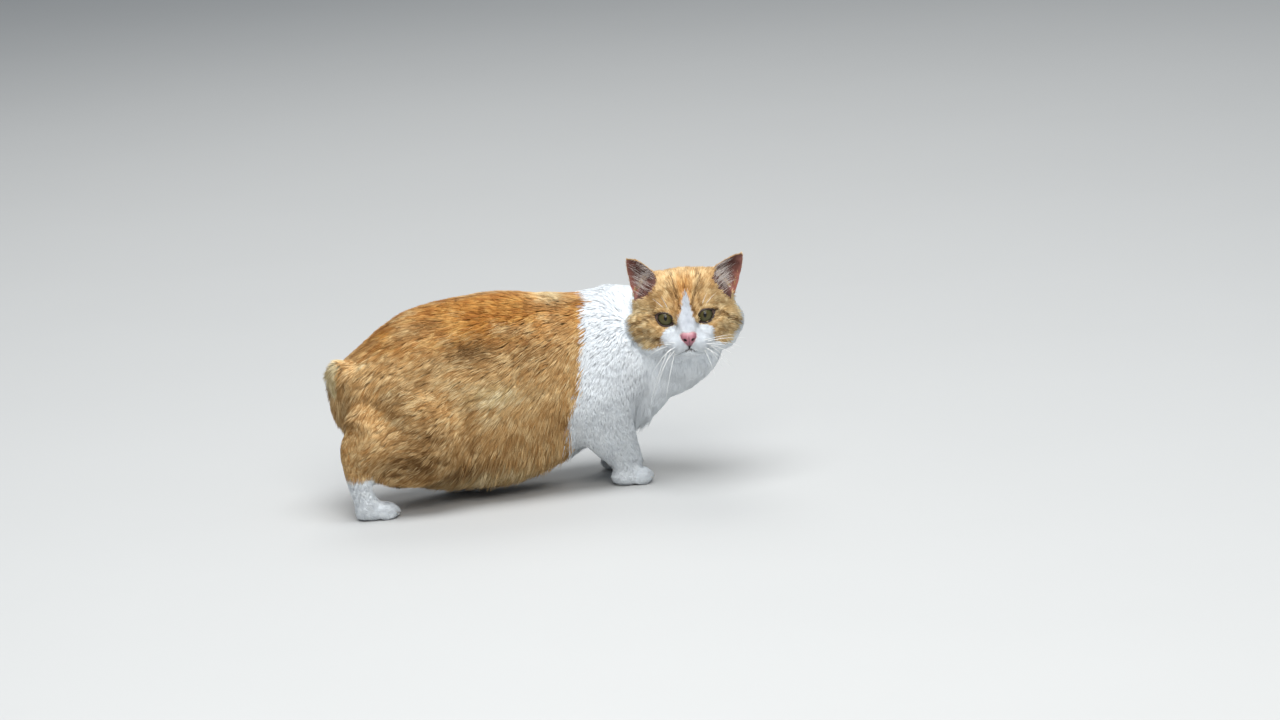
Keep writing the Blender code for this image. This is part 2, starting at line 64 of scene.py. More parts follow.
def wobble(points, size, seed):      # smooth noise from -1 to 1, about size across
    dice = np.random.default_rng(seed)
    total = np.zeros(len(points))
    for _ in range(7):
        way = unit(dice.normal(size=3)) * dice.uniform(0.6, 1.6)
        total += np.sin(points @ way * 2 * math.pi / size + dice.uniform(0, 6.28))
    return total / 3.2


def bearing(turn, lift):             # a way turned by degrees from -y, and lifted
    turn, lift = math.radians(turn), math.radians(lift)
    return math.sin(turn) * math.cos(lift), -math.cos(turn) * math.cos(lift), math.sin(lift)


def axesAlong(way, tilt=0.0):        # rows: to the cat's left, along way, and up
    forward = unit(way)
    side = unit(np.cross((0, 0, 1), forward))
    up = np.cross(forward, side)
    c, s = math.cos(math.radians(tilt)), math.sin(math.radians(tilt))
    return np.array([side * c + up * s, forward, up * c - side * s])


def bell(values, width):             # 1 at 0 and falling off to both sides
    return np.exp(-(values / width) ** 2)


def apart(points, spot):             # each point's distance to a spot
    return np.linalg.norm(points - spot, axis=1)


def curve(points, steps, closed=False):    # a smooth line through the points
    points = np.asarray(points, float)
    if closed:
        rows = [np.roll(points, k, axis=0) for k in (1, 0, -1, -2)]
    else:
        first, last = 2 * points[:1] - points[1:2], 2 * points[-1:] - points[-2:-1]
        ends = np.concatenate([first, points, last])
        rows = [ends[k:len(points) - 1 + k] for k in range(4)]
    a, b, c, d = rows
    line = []
    for t in np.arange(steps) / steps:
        line.append(0.5 * (2 * b + (c - a) * t + (2 * a - 5 * b + 4 * c - d) * t ** 2
                           + (3 * b - a - 3 * c + d) * t ** 3))
    line = np.stack(line, axis=1).reshape(-1, points.shape[1])
    return line if closed else np.concatenate([line, points[-1:]])


def toLine(points, line, closed=False):    # each point's distance to a line of short pieces
    ends = np.roll(line, -1, axis=0) if closed else line[1:]
    best = np.full(len(points), 1e9)
    for start, end in zip(line, ends):
        way = end - start
        t = np.clip((points - start) @ way / max(way @ way, 1e-9), 0, 1)
        best = np.minimum(best, np.linalg.norm(points - start - t[:, None] * way, axis=1))
    return best


def inside(points, outline):
    hit = np.zeros(len(points), bool)
    for (x0, y0), (x1, y1) in zip(outline, np.roll(outline, -1, axis=0)):
        if y0 == y1:
            continue
        crosses = (points[:, 1] < y0) != (points[:, 1] < y1)
        hit ^= crosses & (points[:, 0] < (x1 - x0) * (points[:, 1] - y0) / (y1 - y0) + x0)
    return hit


def outsideOf(points, outline):      # distance outside a closed outline, less than 0 inside
    edge = toLine(points, outline, closed=True)
    return np.where(inside(points, outline), -edge, edge)


# The head's own frame: sideways to the cat's left, forwards, up, from the point
# midway between the eyes
headPlace = dict(eyesMid=(145, -71.5, 178), turn=11.5, lift=4.0, tilt=0.3)
headMid = np.array(headPlace["eyesMid"], float)
headAxes = axesAlong(bearing(-headPlace["turn"], headPlace["lift"]), headPlace["tilt"])


def toHead(points):
    return (np.asarray(points, float) - headMid) @ headAxes.T


def fromHead(points):
    return np.asarray(points, float) @ headAxes + headMid


# Meshes to and from arrays

def place(name, mesh):
    piece = bpy.data.objects.new(name, mesh)
    stage.objects.link(piece)
    return piece


def meshFrom(name, points, faces):
    mesh = bpy.data.meshes.new(name)
    faces = np.asarray(faces, np.int32)
    mesh.vertices.add(len(points))
    mesh.vertices.foreach_set("co", (np.asarray(points) * mm).astype(np.float32).ravel())
    mesh.loops.add(faces.size)
    mesh.loops.foreach_set("vertex_index", faces.ravel())
    mesh.polygons.add(len(faces))
    mesh.polygons.foreach_set("loop_start", np.arange(len(faces), dtype=np.int32) * faces.shape[1])
    mesh.update(calc_edges=True)
    mesh.shade_smooth()
    return mesh


def pointsOf(mesh):
    flat = np.empty(len(mesh.vertices) * 3, np.float32)
    mesh.vertices.foreach_get("co", flat)
    return flat.reshape(-1, 3).astype(float) / mm


def facesOf(mesh, corners):
    flat = np.empty(len(mesh.loops), np.int32)
    mesh.loops.foreach_get("vertex_index", flat)
    return flat.reshape(-1, corners)


def baked(piece):                    # the piece's mesh with its modifiers in it
    bpy.context.view_layer.update()
    graph = bpy.context.evaluated_depsgraph_get()
    mesh = bpy.data.meshes.new_from_object(piece.evaluated_get(graph))
    bpy.data.objects.remove(piece, do_unlink=True)
    return mesh


def remeshed(mesh, cell):            # one closed skin of squares round a mesh
    piece = place("blank", mesh)
    fuse = piece.modifiers.new("fuse", "REMESH")
    fuse.mode = "VOXEL"
    fuse.voxel_size = cell * mm
    return baked(piece)


def thinned(mesh, triangles, loose=None):  # loose is 0 at points to leave alone, else 1
    piece = place("blank", mesh)
    thin = piece.modifiers.new("thin", "DECIMATE")
    thin.ratio = triangles / sum(len(face.vertices) - 2 for face in mesh.polygons)
    thin.use_collapse_triangulate = True
    if loose is not None:
        group = piece.vertex_groups.new(name="loose")
        for share in (0.0, 1.0):
            group.add(np.flatnonzero(loose == share).tolist(), share, "REPLACE")
        thin.vertex_group = "loose"
    return baked(piece)


def faceOut(mesh):                   # turn a closed mesh the right way round
    work = bmesh.new()
    work.from_mesh(mesh)
    if work.calc_volume(signed=True) < 0:
        mesh.flip_normals()
    work.free()


def nodeShell(names, swell):         # copies of CAD nodes, merged and swollen, as one mesh
    work = bmesh.new()
    for name in names:
        part = bmesh.new()
        part.from_mesh(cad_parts[name].data)
        bmesh.ops.remove_doubles(part, verts=part.verts, dist=0.002 * mm)
        part.normal_update()
        for corner in part.verts:
            corner.co += corner.normal * swell * mm
        shell = bpy.data.meshes.new("shell")
        part.to_mesh(shell)
        part.free()
        work.from_mesh(shell)
        bpy.data.meshes.remove(shell)
    mesh = bpy.data.meshes.new("shell")
    work.to_mesh(mesh)
    work.free()
    return mesh


class Surface:                       # points and square faces, and who is next to whom
    def __init__(self, points, faces):
        self.points, self.faces = points, faces
        self.link()
        self.keepLargest()

    def link(self):
        count = len(self.points)
        ring = np.roll(self.faces, -1, axis=1)
        one, two = self.faces.ravel().astype(np.int64), ring.ravel().astype(np.int64)
        code = np.unique(np.concatenate([one * count + two, two * count + one]))
        self.source, self.target = code // count, code % count
        self.starts = np.searchsorted(self.source, np.arange(count))
        self.degree = np.diff(np.append(self.starts, len(code)))[:, None]

    def keepLargest(self):           # drop loose scraps and sealed hollows
        label = np.arange(len(self.points))
        while True:
            lower = label.copy()
            np.minimum.at(lower, self.source, label[self.target])
            lower = lower[lower]
            if (lower == label).all():
                break
            label = lower
        kept = label == np.bincount(label).argmax()
        number = np.cumsum(kept) - 1
        self.faces = number[self.faces[kept[self.faces[:, 0]]]]
        self.points = self.points[kept]
        self.link()

    def relax(self, values, rounds): # move values half way to their neighbours' mean
        values = values if values.ndim > 1 else values[:, None]
        for _ in range(rounds):
            mean = np.add.reduceat(values[self.target], self.starts, axis=0) / self.degree
            values = values + 0.5 * (mean - values)
        return values

    def relaxNear(self, weights, rounds):      # the same where the weights aren't 0
        near = np.flatnonzero(weights > 0.01)
        picked = np.isin(self.source, near)
        target, degree = self.target[picked], self.degree[near]
        starts = np.searchsorted(self.source[picked], near)
        share = 0.5 * weights[near, None]
        for _ in range(rounds):
            mean = np.add.reduceat(self.points[target], starts, axis=0) / degree
            self.points[near] += share * (mean - self.points[near])

    def faceNormals(self):
        p, f = self.points, self.faces
        return np.cross(p[f[:, 2]] - p[f[:, 0]], p[f[:, -1]] - p[f[:, 1]])

    def normals(self):
        flat = self.faceNormals()
        total = np.zeros_like(self.points)
        for corner in self.faces.T:
            for axis in range(3):
                total[:, axis] += np.bincount(corner, flat[:, axis], len(self.points))
        return unit(total)


def paint(mesh, name, columns):      # a colour attribute on the points, from 2 or 3 columns
    layer = mesh.attributes.new(name, "FLOAT_COLOR", "POINT")
    colour = np.ones((len(mesh.vertices), 4), np.float32)
    colour[:, 2] = 0
    colour[:, :len(columns)] = np.stack(columns, axis=1)
    layer.data.foreach_set("color", colour.ravel())


# Which CAD node each point of the skin belongs to

nodeNames = sorted(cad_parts)
stems = [name.replace("_left", "").replace("_right", "") for name in nodeNames]


def nodeFinder():
    points, faces, owners = [], [], []
    for index, name in enumerate(nodeNames):
        base = len(points)
        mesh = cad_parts[name].data
        points += [corner.co / mm for corner in mesh.vertices]
        faces += [[base + i for i in face.vertices] for face in mesh.polygons]
        owners += [index] * len(mesh.polygons)
    return BVHTree.FromPolygons(points, faces), np.array(owners)


cadTree, cadOwners = nodeFinder()


def nodesAt(points):
    found = [cadTree.find_nearest(Vector(point))[2] for point in points]
    return cadOwners[np.array(found)]


headStems = ("head", "ear", "eye", "nose")


def isNode(owners, *wanted):
    chosen = [i for i, stem in enumerate(stems) if stem in wanted]
    return np.isin(owners, chosen)


# The coat over each part: its depth over the skin, the length and width of its
# tufts, tufts to a square millimetre, the spacing of the locks they gather in, how
# uneven it is, and how far its light follows the skin under it
coatOfPart = {
    "belly": (6.0, 19, 1.02, 0.50, 5.6, 1.0, 0.6), "rump": (5.6, 18, 1.02, 0.53, 5.6, 1.0, 0.6),
    "chest": (4.6, 16, 1.12, 0.50, 5.4, 0.4, 0.78), "neck": (4.0, 17, 1.22, 0.50, 5.2, 0.30, 0.82),
    "tail_stump": (5.5, 14, 0.95, 0.80, 4.4, 1.0, 0.6),
    "thigh": (5.2, 16, 1.00, 0.54, 5.2, 1.0, 0.6), "shank": (4.2, 13, 0.95, 0.60, 4.8, 0.9, 0.6),
    "upper_arm": (4.2, 13, 1.00, 0.54, 5.0, 0.5, 0.7), "forearm": (3.0, 9, 0.85, 0.76, 3.8, 0.7, 0.5),
    "hind_foot": (2.4, 8, 0.80, 0.90, 3.4, 0.8, 0.4),
    "front_paw": (1.2, 4.5, 0.65, 1.2, 2.6, 1.0, 0.4),
    "hind_paw": (1.2, 4.5, 0.65, 1.2, 2.6, 1.0, 0.4),
    "head": (4.0, 10, 0.95, 1.0, 3.6, 1.0, 0.6), "ear": (0.8, 4.2, 0.50, 1.5, 2.4, 1.0, 0.1),
    "eye": (1.0, 3, 0.50, 0.6, 2.0, 1.0, 0.6), "nose": (0.9, 2, 0.40, 0.2, 2.0, 1.0, 0.6),
}
# On the face they follow the distance from the nose instead
coatOfFace = dict(
    away=(8, 22, 36, 52, 70, 95),
    depth=(0.8, 1.2, 1.7, 2.7, 4.0, 6.0),
    length=(2.2, 3.4, 5.0, 7.5, 11, 15),
    width=(0.40, 0.52, 0.64, 0.80, 0.95, 1.10),
    density=(3.4, 2.4, 1.75, 1.25, 0.90, 0.62),
    lock=(1.8, 2.2, 2.8, 3.4, 4.2, 5.0),
)
noseTip = (0, 24, -20)
# Where each ear's cup runs on over the head, sideways and up, with short hair round it
earCups = (((29, 37), (38, 22), (44, 15), (49, 9), (55, 25), (61, 53)),
           ((-25, 43), (-26, 33), (-36, 22.5), (-47, 17.5), (-53, 19), (-56, 47), (-57, 62)))


def cupDepth(points):                # how far inside a cup's outline, less than 0 outside
    local = toHead(points)
    flat = local[:, [0, 2]]
    depth = np.full(len(points), -40.0)
    for outline in earCups:
        depth = np.maximum(depth, -outsideOf(flat, np.array(outline, float)))
    return np.where(local[:, 1] > -50, depth, -40)      # only from the front of the head


def coatFields(points, owners, surface):
    table = np.array([coatOfPart[stem] for stem in stems])
    fields = table[owners]
    away = apart(toHead(points), noseTip)
    onHead = isNode(owners, "head", "eye", "nose")
    for column, key in enumerate(("depth", "length", "width", "density", "lock")):
        face = np.interp(away, coatOfFace["away"], coatOfFace[key])
        fields[onHead, column] = face[onHead]
    short = ease(-cupDepth(points), 0, 12)
    fields[onHead, :3] *= (0.35 + 0.65 * short[onHead])[:, None] ** np.array((0.6, 1.0, 0.5))
    fields = surface.relax(fields, 30)
    below = surface.relax(1.0 - isNode(owners, *headStems), 10)
    for _ in range(6):               # parts of the body melt into each other further
        fields = fields + below * (surface.relax(fields, 10) - fields)
    return fields


# The skin: every node of flesh fused, smoothed, and sunk by the depth of the coat
skinShape = dict(cell=1.15, swell=0.25, bodyRounds=60, headRounds=6, softRounds=300,
                 ankleRounds=60, settleRounds=4, floor=0.8, triangles=170000)
# Flesh that fills a crease between nodes: middle and half sizes
fillers = (
    ((-198, -28, 102), (16, 17, 21)), ((-190, -4, 96), (16, 24, 26)), ((-203, 12, 145), (13, 22, 22)),
    ((-150, 55, 78), (16, 14, 16)), ((96, -30, 118), (16, 14, 26)), ((96, 74, 118), (16, 14, 26)),
)
# Where joints are smoothed away: middle, reach and strength
softSpots = (
    ((-203, -26, 102), 34, 1.0), ((-188, -44, 92), 34, 1.0), ((104, -42, 110), 46, 1.0),
    ((104, 86, 110), 46, 1.0), ((-104, -58, 72), 34, 0.9), ((-62, 84, 80), 40, 0.8),
    ((-204, 12, 158), 26, 0.7),
    ((120, 10, 196), 30, 0.8), ((70, -40, 66), 24, 0.8), ((78, 84, 66), 24, 0.8),
)
# The paws: place, length, half width, height, and how far back the leg stands on them
paws = (
    (88, -17.5, 46, 19.5, 19, 9), (98, 64.5, 46, 19.5, 19, 9),
    (-187, -28.5, 48, 17, 19, 12), (-74, 53.5, 48, 17, 18, 12),
)
# The claws' places on a paw, as shares of its half width and length
toeRows = ((-0.72, 0.17), (-0.26, 0.27), (0.26, 0.27), (0.72, 0.17))
pawShape = dict(grooves=(-0.49, 0.0, 0.49), grooveDepth=2.3, grooveWidth=1.35, ankle=(13, 0.70, 13))


def withFillers(mesh):
    work = bmesh.new()
    work.from_mesh(mesh)
    deep, wide, tall = pawShape["ankle"]
    ankles = [((x - back, y, 24), (deep, half * wide, tall)) for x, y, _, half, _, back in paws]
    for middle, half in fillers + tuple(ankles):
        turn = Matrix.LocRotScale(Vector(middle) * mm, None, Vector(half) * mm)
        bmesh.ops.create_icosphere(work, subdivisions=3, radius=1, matrix=turn)
    work.to_mesh(mesh)
    work.free()
    return mesh


def makeSkin():
    blank = remeshed(withFillers(nodeShell(nodeNames, skinShape["swell"])), skinShape["cell"])
    skin = Surface(pointsOf(blank), facesOf(blank, 4))
    print("  skin fused:", len(skin.points), "points")
    skin.owners = nodesAt(skin.points)
    skin.fine = skin.relax(isNode(skin.owners, *headStems).astype(float), 10)[:, 0]
    toes = skin.relax(isNode(skin.owners, "front_paw", "hind_paw").astype(float), 6)[:, 0]
    body = np.clip(1 - skin.fine - toes, 0, 1)[:, None]
    for _ in range(skinShape["bodyRounds"]):
        skin.points = skin.points + body * (skin.relax(skin.points, 1) - skin.points)
    skin.points = skin.relax(skin.points, skinShape["headRounds"])
    for middle, reach, strength in softSpots:
        away = apart(skin.points, middle)
        near = strength * (1 - ease(away, 0.45 * reach, 1.15 * reach)) * (1 - skin.fine)
        skin.relaxNear(near, skinShape["softRounds"])
    for x, y, _, _, _, back in paws:
        away = apart(skin.points, (x - back, y, 30))
        skin.relaxNear(0.9 * (1 - ease(away, 8, 19)), skinShape["ankleRounds"])
    skin.fields = coatFields(skin.points, skin.owners, skin)
    normals = skin.normals()
    skin.points = skin.points - normals * skin.fields[:, :1]
    skin.points = skin.relax(skin.points, skinShape["settleRounds"])
    skin.points[:, 2] = np.maximum(skin.points[:, 2], skinShape["floor"])
    return skin


def carveToes(skin):
    normals = skin.normals()
    for x, y, length, half, height, _ in paws:
        ahead = (skin.points[:, 0] - x) / length
        across = (skin.points[:, 1] - y) / half
        near = (np.abs(across) < 1.3) & (np.abs(ahead) < 0.7) & (skin.points[:, 2] < height * 1.4)
        push = np.zeros(len(near))
        for groove in pawShape["grooves"]:
            push += bell((across - groove) * half, pawShape["grooveWidth"])
        push *= near * ease(ahead, 0.02, 0.26) * pawShape["grooveDepth"]
        skin.points -= normals * push[:, None]
    skin.points[:, 2] = np.maximum(skin.points[:, 2], skinShape["floor"])


skin = makeSkin()
carveToes(skin)
print("skin sunk under the coat")

# The eyes: round, each behind its lids, and turned to one point far off
eyeShape = dict(out=20.5, forward=-10.8, up=-0.5, radius=10.55, bulge=0.9, bulgeAngle=46)
gazeAt = np.array((-1646, -7046, 1536), float)
# The opening between the lids, seen along the gaze: outwards and up
lidOpening = ((9.8, 3.2), (6.8, 4.9), (1.8, 5.3), (-3.2, 3.9), (-6.9, -0.8),
              (-8.9, -6.8), (-5.2, -7.6), (0.4, -8.1), (5.4, -6.0), (8.8, -1.2))


class Eye:
    def __init__(self, side, name):
        self.name = name
        centre = (side * eyeShape["out"], eyeShape["forward"], eyeShape["up"])
        self.centre = fromHead(centre)
        self.axes = axesAlong(gazeAt - self.centre)
        self.opening = curve(np.array(lidOpening) * (side, 1), 6, closed=True)

    def edge(self, points):          # distance outside the opening, less than 0 inside
        local = (points - self.centre) @ self.axes.T
        edge = outsideOf(local[:, [0, 2]], self.opening)
        return np.where(local[:, 1] > 0, edge, 30.0)

    def onBall(self, flat, radius):  # points of the gaze's plane carried onto a round surface
        flat = np.asarray(flat, float)
        ahead = np.sqrt(np.maximum(radius ** 2 - (flat ** 2).sum(axis=1), 1))
        local = np.stack([flat[:, 0], ahead, flat[:, 1]], axis=1)
        return local @ self.axes + self.centre


eyes = [Eye(1, "eye_left"), Eye(-1, "eye_right")]

# Half the edge of the nose leather, sideways and up in the head's frame
noseOutline = ((0, -14.2), (5.0, -13.4), (8.2, -15.6), (7.6, -19.4), (4.4, -23.6), (1.4, -27))


def noseEdge(points):                # distance outside the nose leather, less than 0 on it
    half = np.array(noseOutline, float)
    outline = curve(np.concatenate([half, half[:0:-1] * (-1, 1)]), 3, closed=True)
    local = toHead(points)
    return np.where(local[:, 1] > 5, outsideOf(local[:, [0, 2]], outline), 40.0)


# Lids, mouth and folds, pushed into the skin point by point
faceFolds = dict(eyeReach=22, lidThickness=1.5, pocket=2.2, lidFold=0.5, foldAt=4.2,
                 mouthReach=40, mouthDepth=3.2, mouthWidth=1.5, lipSwell=0.45, lipAt=2.4,
                 noseBed=3.2)
# Swellings of the face, on both sides: middle in the head's frame, reach, and height
faceSwells = (((11.5, 17, -27), 8.0, 1.3), ((0, 13, -36), 5.0, -0.8), ((9, 0, 8), 7, 0.6))
mouthLine = ((-22, -35.0), (-17, -36.2), (-12, -35.6), (-6, -33.6), (0, -31.5),
             (6, -33.6), (12, -35.6), (17, -36.2), (22, -35.0))
cleftLine = ((0, -27.0), (0, -29.0), (0, -31.5))


def skinTree(skin):
    return BVHTree.FromPolygons(skin.points.tolist(), skin.faces.tolist())


def ontoFace(tree, flat):            # points of the head's front plane carried onto the skin
    found = []
    for side, up in flat:
        start = fromHead((side, 60, up))
        found.append(tree.ray_cast(Vector(start), Vector(-headAxes[1]))[0])
    return np.array(found)


def carveFace(skin):
    radius = eyeShape["radius"]
    for eye in eyes:
        close = np.flatnonzero(apart(skin.points, eye.centre) < faceFolds["eyeReach"])
        points = skin.points[close]
        edge = eye.edge(points)
        now = apart(points, eye.centre)
        lid = radius + faceFolds["lidThickness"]
        fold = faceFolds["lidFold"] * bell(edge - faceFolds["foldAt"], 1.0)
        wanted = np.where(edge < 0, radius - faceFolds["pocket"] * ease(-edge, 0, 1.0), lid)
        share = 1 - ease(edge, 1.6, 5.5)
        share[edge > 25] = 0
        moved = now + share * (wanted - now) - fold * (edge < 12)
        skin.points[close] = eye.centre + (points - eye.centre) * (moved / now)[:, None]
    normals = skin.normals()
    local = toHead(skin.points)
    local[:, 0] = np.abs(local[:, 0])
    for middle, reach, height in faceSwells:
        skin.points += normals * (height * bell(apart(local, middle), reach))[:, None]
    bed = 1 - ease(noseEdge(skin.points), -1.6, -0.2)
    skin.points += headAxes[1] * (-faceFolds["noseBed"] * bed)[:, None]
    tree = skinTree(skin)
    close = np.flatnonzero(apart(skin.points, fromHead((0, 12, -30))) < faceFolds["mouthReach"])
    points = skin.points[close]
    away = np.minimum(toLine(points, ontoFace(tree, curve(mouthLine, 5))),
                      toLine(points, ontoFace(tree, curve(cleftLine, 4))))
    push = faceFolds["mouthDepth"] * bell(away, faceFolds["mouthWidth"])
    push -= faceFolds["lipSwell"] * bell(away - faceFolds["lipAt"], 1.1)
    skin.points[close] = points - skin.normals()[close] * push[:, None]
    # The dark lip line: the lips' own dark skin, widened at the middle as painted shade of the
    # mouth's opening
    skin.lips = np.zeros(len(skin.points))
    middle = bell(toHead(points)[:, 0], 5)
    skin.lips[close] = bell(away, 1.6 + 0.9 * middle)


# The ears: how far down their tips are pressed, and how deep the cups are
earShape = dict(tip=8.0, pressLeft=0.15, pressRight=0.42, rounds=14, hollow=5.0)


def bluntEars(skin):                 # press each ear's tip down to a round end
    local, tip = toHead(skin.points), earShape["tip"]
    for side, share in ((1, earShape["pressLeft"]), (-1, earShape["pressRight"])):
        own = np.flatnonzero(isNode(skin.owners, "ear") & (local[:, 0] * side > 0))
        above = np.clip((local[own, 2] - local[own, 2].max() + tip) / tip, 0, 1)
        local[own, 2] -= share * tip * above ** 2
        skin.points[own] = fromHead(local[own])
        weights = np.zeros(len(skin.points))
        weights[own] = above
        skin.relaxNear(weights, earShape["rounds"])


def onCup(points, normals, owners):  # 1 in the low part of each cup, on head and ear
    ahead = toHead(points)[:, 1]
    opens = np.where(isNode(owners, "head"), ease(ahead, -46, -42),
                     isNode(owners, "ear") * ease(normals @ headAxes[1], -0.45, -0.15))
    return opens * ease(cupDepth(points) + 0.6 * wobble(points, 6, 31), -0.6, 0.8)


def hollowEars(skin):                # sink that part where it is on the head
    cup = onCup(skin.points, skin.normals(), skin.owners) * ease(cupDepth(skin.points), 0, 6)
    cup *= isNode(skin.owners, "head")
    skin.points -= headAxes[1] * (earShape["hollow"] * cup)[:, None]


carveFace(skin)
bluntEars(skin)
hollowEars(skin)
skinNormals = skin.normals()
print("face and ears carved")


# The inside of each ear, open forwards and outwards, is nearly bare

def earFacing(points, normals):      # how far a point of an ear faces the way its cup opens
    facing = normals @ headAxes.T
    facing[:, 0] *= np.sign(toHead(points)[:, 0])
    return facing @ unit((0.42, 0.88, -0.1))


def earInner(points, normals, owners):
    cup = isNode(owners, "ear") * ease(earFacing(points, normals), 0.15, 0.45)
    return np.maximum(cup, onCup(points, normals, owners))


# Markings, the same for skin and coat: ginger or white, dark strokes, pale places, with some painted
# shade and light among them.
# First where the ginger ends behind the shoulder: heights, and x at each
borderHeights = (40, 50, 60, 78, 90, 112, 131, 151, 173, 192, 201)
borderPlaces = (26, 22, 18, 19, 25, 32, 36, 40, 45, 53, 61)
# Patches on the flanks: x, z, how far they reach in x and z, and strength
# Dark: the coat's own patches, but the low ones at (-150, 57) and (-95, 38) are partly painted shade,
# under the thigh and along the low belly
darkMarksAndShade = ((-76, 164, 27, 12, 1.0), (-36, 176, 18, 8, 0.45), (-112, 156, 14, 8, 0.45),
               (-150, 57, 38, 15, 1.0), (-206, 118, 9, 22, 0.45), (-138, 80, 34, 16, 0.6),
               (-20, 150, 12, 14, 0.22), (-150, 84, 30, 5, 0.40), (-95, 38, 44, 10, 0.75),
               (-30, 60, 26, 14, 0.15))
# Pale: the coat's own cream, but the patch at the withers (26, 204) is a painted highlight of light
# from above
paleMarksAndHighlight = ((-60, 117, 46, 20, 0.95), (-95, 130, 24, 12, 0.65), (-160, 130, 34, 26, 0.55),
               (-62, 90, 50, 14, 0.60), (-14, 112, 22, 40, 0.55), (26, 204, 20, 9, 0.85),
               (-55, 24, 80, 16, 0.85), (-165, 102, 30, 8, 0.65), (-204, 62, 14, 18, 0.55),
               (18, 150, 22, 40, 0.50), (-190, 160, 20, 16, 0.60), (-140, 186, 36, 14, 0.35))
# Where the white of the face ends on each side, by height in the head's frame
whiteHeights = (-60, -45, -36, -31, -28, -17, -11, -7, 1.5, 11, 20.5, 27)
whiteRight = (-95, -95, -70, -36, -26, -27.5, -23, -10.5, -8.2, -4.4, -0.8, 1.6)
whiteLeft = (95, 95, 70, 36, 28, 27, 26, 12.0, 7.0, 5.5, 4.2, 2.8)
# Strokes on the head, sideways and up, then width and strength
headStrokes = (
    (((-12, 44), (-10.5, 37.8), (-8, 25), (-5.8, 16), (-6.2, 10)), 1.7, 1.0),
    (((17, 43), (15.9, 34.4), (10.8, 23.3), (7.9, 14.8), (6.9, 7)), 1.7, 1.0),
    (((-17, 36), (-13, 26), (-11.2, 17.7), (-13.6, 9.5)), 1.4, 0.65),
    (((21, 36), (17, 27), (15.2, 16.9), (15.8, 8.0)), 1.4, 0.65),
    (((-1, 46), (0.5, 36), (2.4, 30)), 1.4, 0.45),
    (((6.5, 46), (6, 37), (4.6, 31)), 1.3, 0.40),
    (((8.0, 9), (9.6, 2)), 2.4, 1.0), (((-9.6, 7), (-10.8, 0.5)), 2.2, 0.75),
    (((31, 3.4), (37, 1.6), (43.8, -2.5), (50.4, -8.5), (60, -14)), 2.2, 0.95),
    (((-30.5, 4.2), (-36, 2.2), (-42, 0.2), (-49, -2.5), (-58, -8)), 2.1, 0.80),
    (((36, -11), (40, -15), (38, -21)), 2.6, 0.50), (((46, -18), (56, -21)), 2.2, 0.45),
    (((-30, -21), (-35, -23)), 3.0, 0.85), (((-40, -12), (-50, -13), (-58, -16)), 2.4, 0.60),
    (((-38, -20), (-47, -21), (-56, -24)), 2.2, 0.65), (((-26, 22), (-32, 14), (-40, 8)), 2.2, 0.25),
    (((28, 22), (35, 14), (43, 8)), 2.2, 0.25),
)
paleStrokes = (
    (((-31, 8), (-24, 11), (-17, 10)), 3.2, 0.75), (((31, 8), (24, 11), (18, 10)), 3.2, 0.75),
    (((-34, -4), (-44, -6), (-54, -12)), 3.0, 0.45), (((36, -5), (46, -9), (56, -14)), 3.0, 0.55),
    (((-30, -12), (-24, -14)), 3.5, 0.5), (((30, -10), (34, -14)), 3.5, 0.5),
    (((-46, 22), (-52, 8), (-57, -4)), 5.0, 0.55), (((46, 22), (54, 8), (60, -4)), 5.0, 0.45),
    (((-34, 9), (-44, 8), (-56, 6)), 4.5, 0.80), (((33, 12), (44, 11), (55, 6)), 4.5, 0.70),
    (((-50, -22), (-54, -30), (-46, -34)), 5.0, 0.90), (((50, -22), (54, -28), (46, -32)), 4.5, 0.7),
)


def strokesAt(flat, strokes):
    total = np.zeros(len(flat))
    for line, width, strength in strokes:
        away = toLine(flat, curve(line, 3))
        total = np.maximum(total, strength * bell(away, width))
    return total


def patchesAt(x, z, patches):
    total = np.zeros(len(x))
    for atX, atZ, reachX, reachZ, strength in patches:
        away = ((x - atX) / reachX) ** 2 + ((z - atZ) / reachZ) ** 2
        total = np.maximum(total, strength * np.exp(-away))
    return total


def bodyMarks(points, owners):       # how ginger, dark and pale the body and legs are
    shaken = points + 2.2 * np.stack([wobble(points, size, seed)
                                      for size, seed in ((17, 1), (23, 2), (14, 3))], axis=1)
    x, z = shaken[:, 0], shaken[:, 2]
    out = np.abs(points[:, 1] - bodyMid)
    teeth = wobble(points * (0.3, 1, 1), 6, 4) + 0.6 * wobble(points * (0.4, 1, 1), 14, 11)
    border = np.interp(z, borderHeights, borderPlaces) + 2.2 * teeth
    ginger = 1 - ease(x - border, -1.5, 1.5)
    feet = isNode(owners, "hind_foot", "hind_paw")
    ginger = np.where(feet, ease(z, 41, 47) * ginger, ginger)
    flank = ease(out, 12, 30)
    dark = patchesAt(x, z, darkMarksAndShade) * np.where(z > 190, 1, flank)
    pale = patchesAt(x, z, paleMarksAndHighlight) * np.where((z > 190) | (z < 45), 1, flank)
    spine = bell(out, 9) * ease(z, 140, 165) * (1 - ease(x, -30, 20))
    dark = np.maximum(dark, 0.42 * spine)
    dark = np.maximum(dark, 0.30 * ease(wobble(points * (0.6, 1, 1.2), 46, 5), 0.25, 0.9))
    pale = np.maximum(pale, 0.42 * (1 - ease(z, 150, 185)))
    streaks = wobble(points * (0.35, 1, 1), 7, 12)
    dark = np.clip(dark * (1 + 0.5 * streaks) + 0.14 * ease(streaks, 0.2, 0.9), 0, 1)
    pale = np.clip(pale * (1 - 0.35 * streaks), 0, 1)
    pale = np.where(isNode(owners, "tail_stump"), 1.3, pale)
    pale = np.maximum(pale, 0.35 * ease(wobble(points, 40, 6), 0.3, 0.9))
    pale = np.maximum(pale, 0.6 * (1 - ease(z, 18, 42)))
    legs = isNode(owners, "upper_arm", "forearm", "front_paw", "hind_foot", "hind_paw")
    soft = np.clip(0.04 + 0.03 * legs + (0.10 + 0.14 * legs) * streaks, 0, 1)
    return ginger, np.where(ginger > 0.5, dark, soft), pale


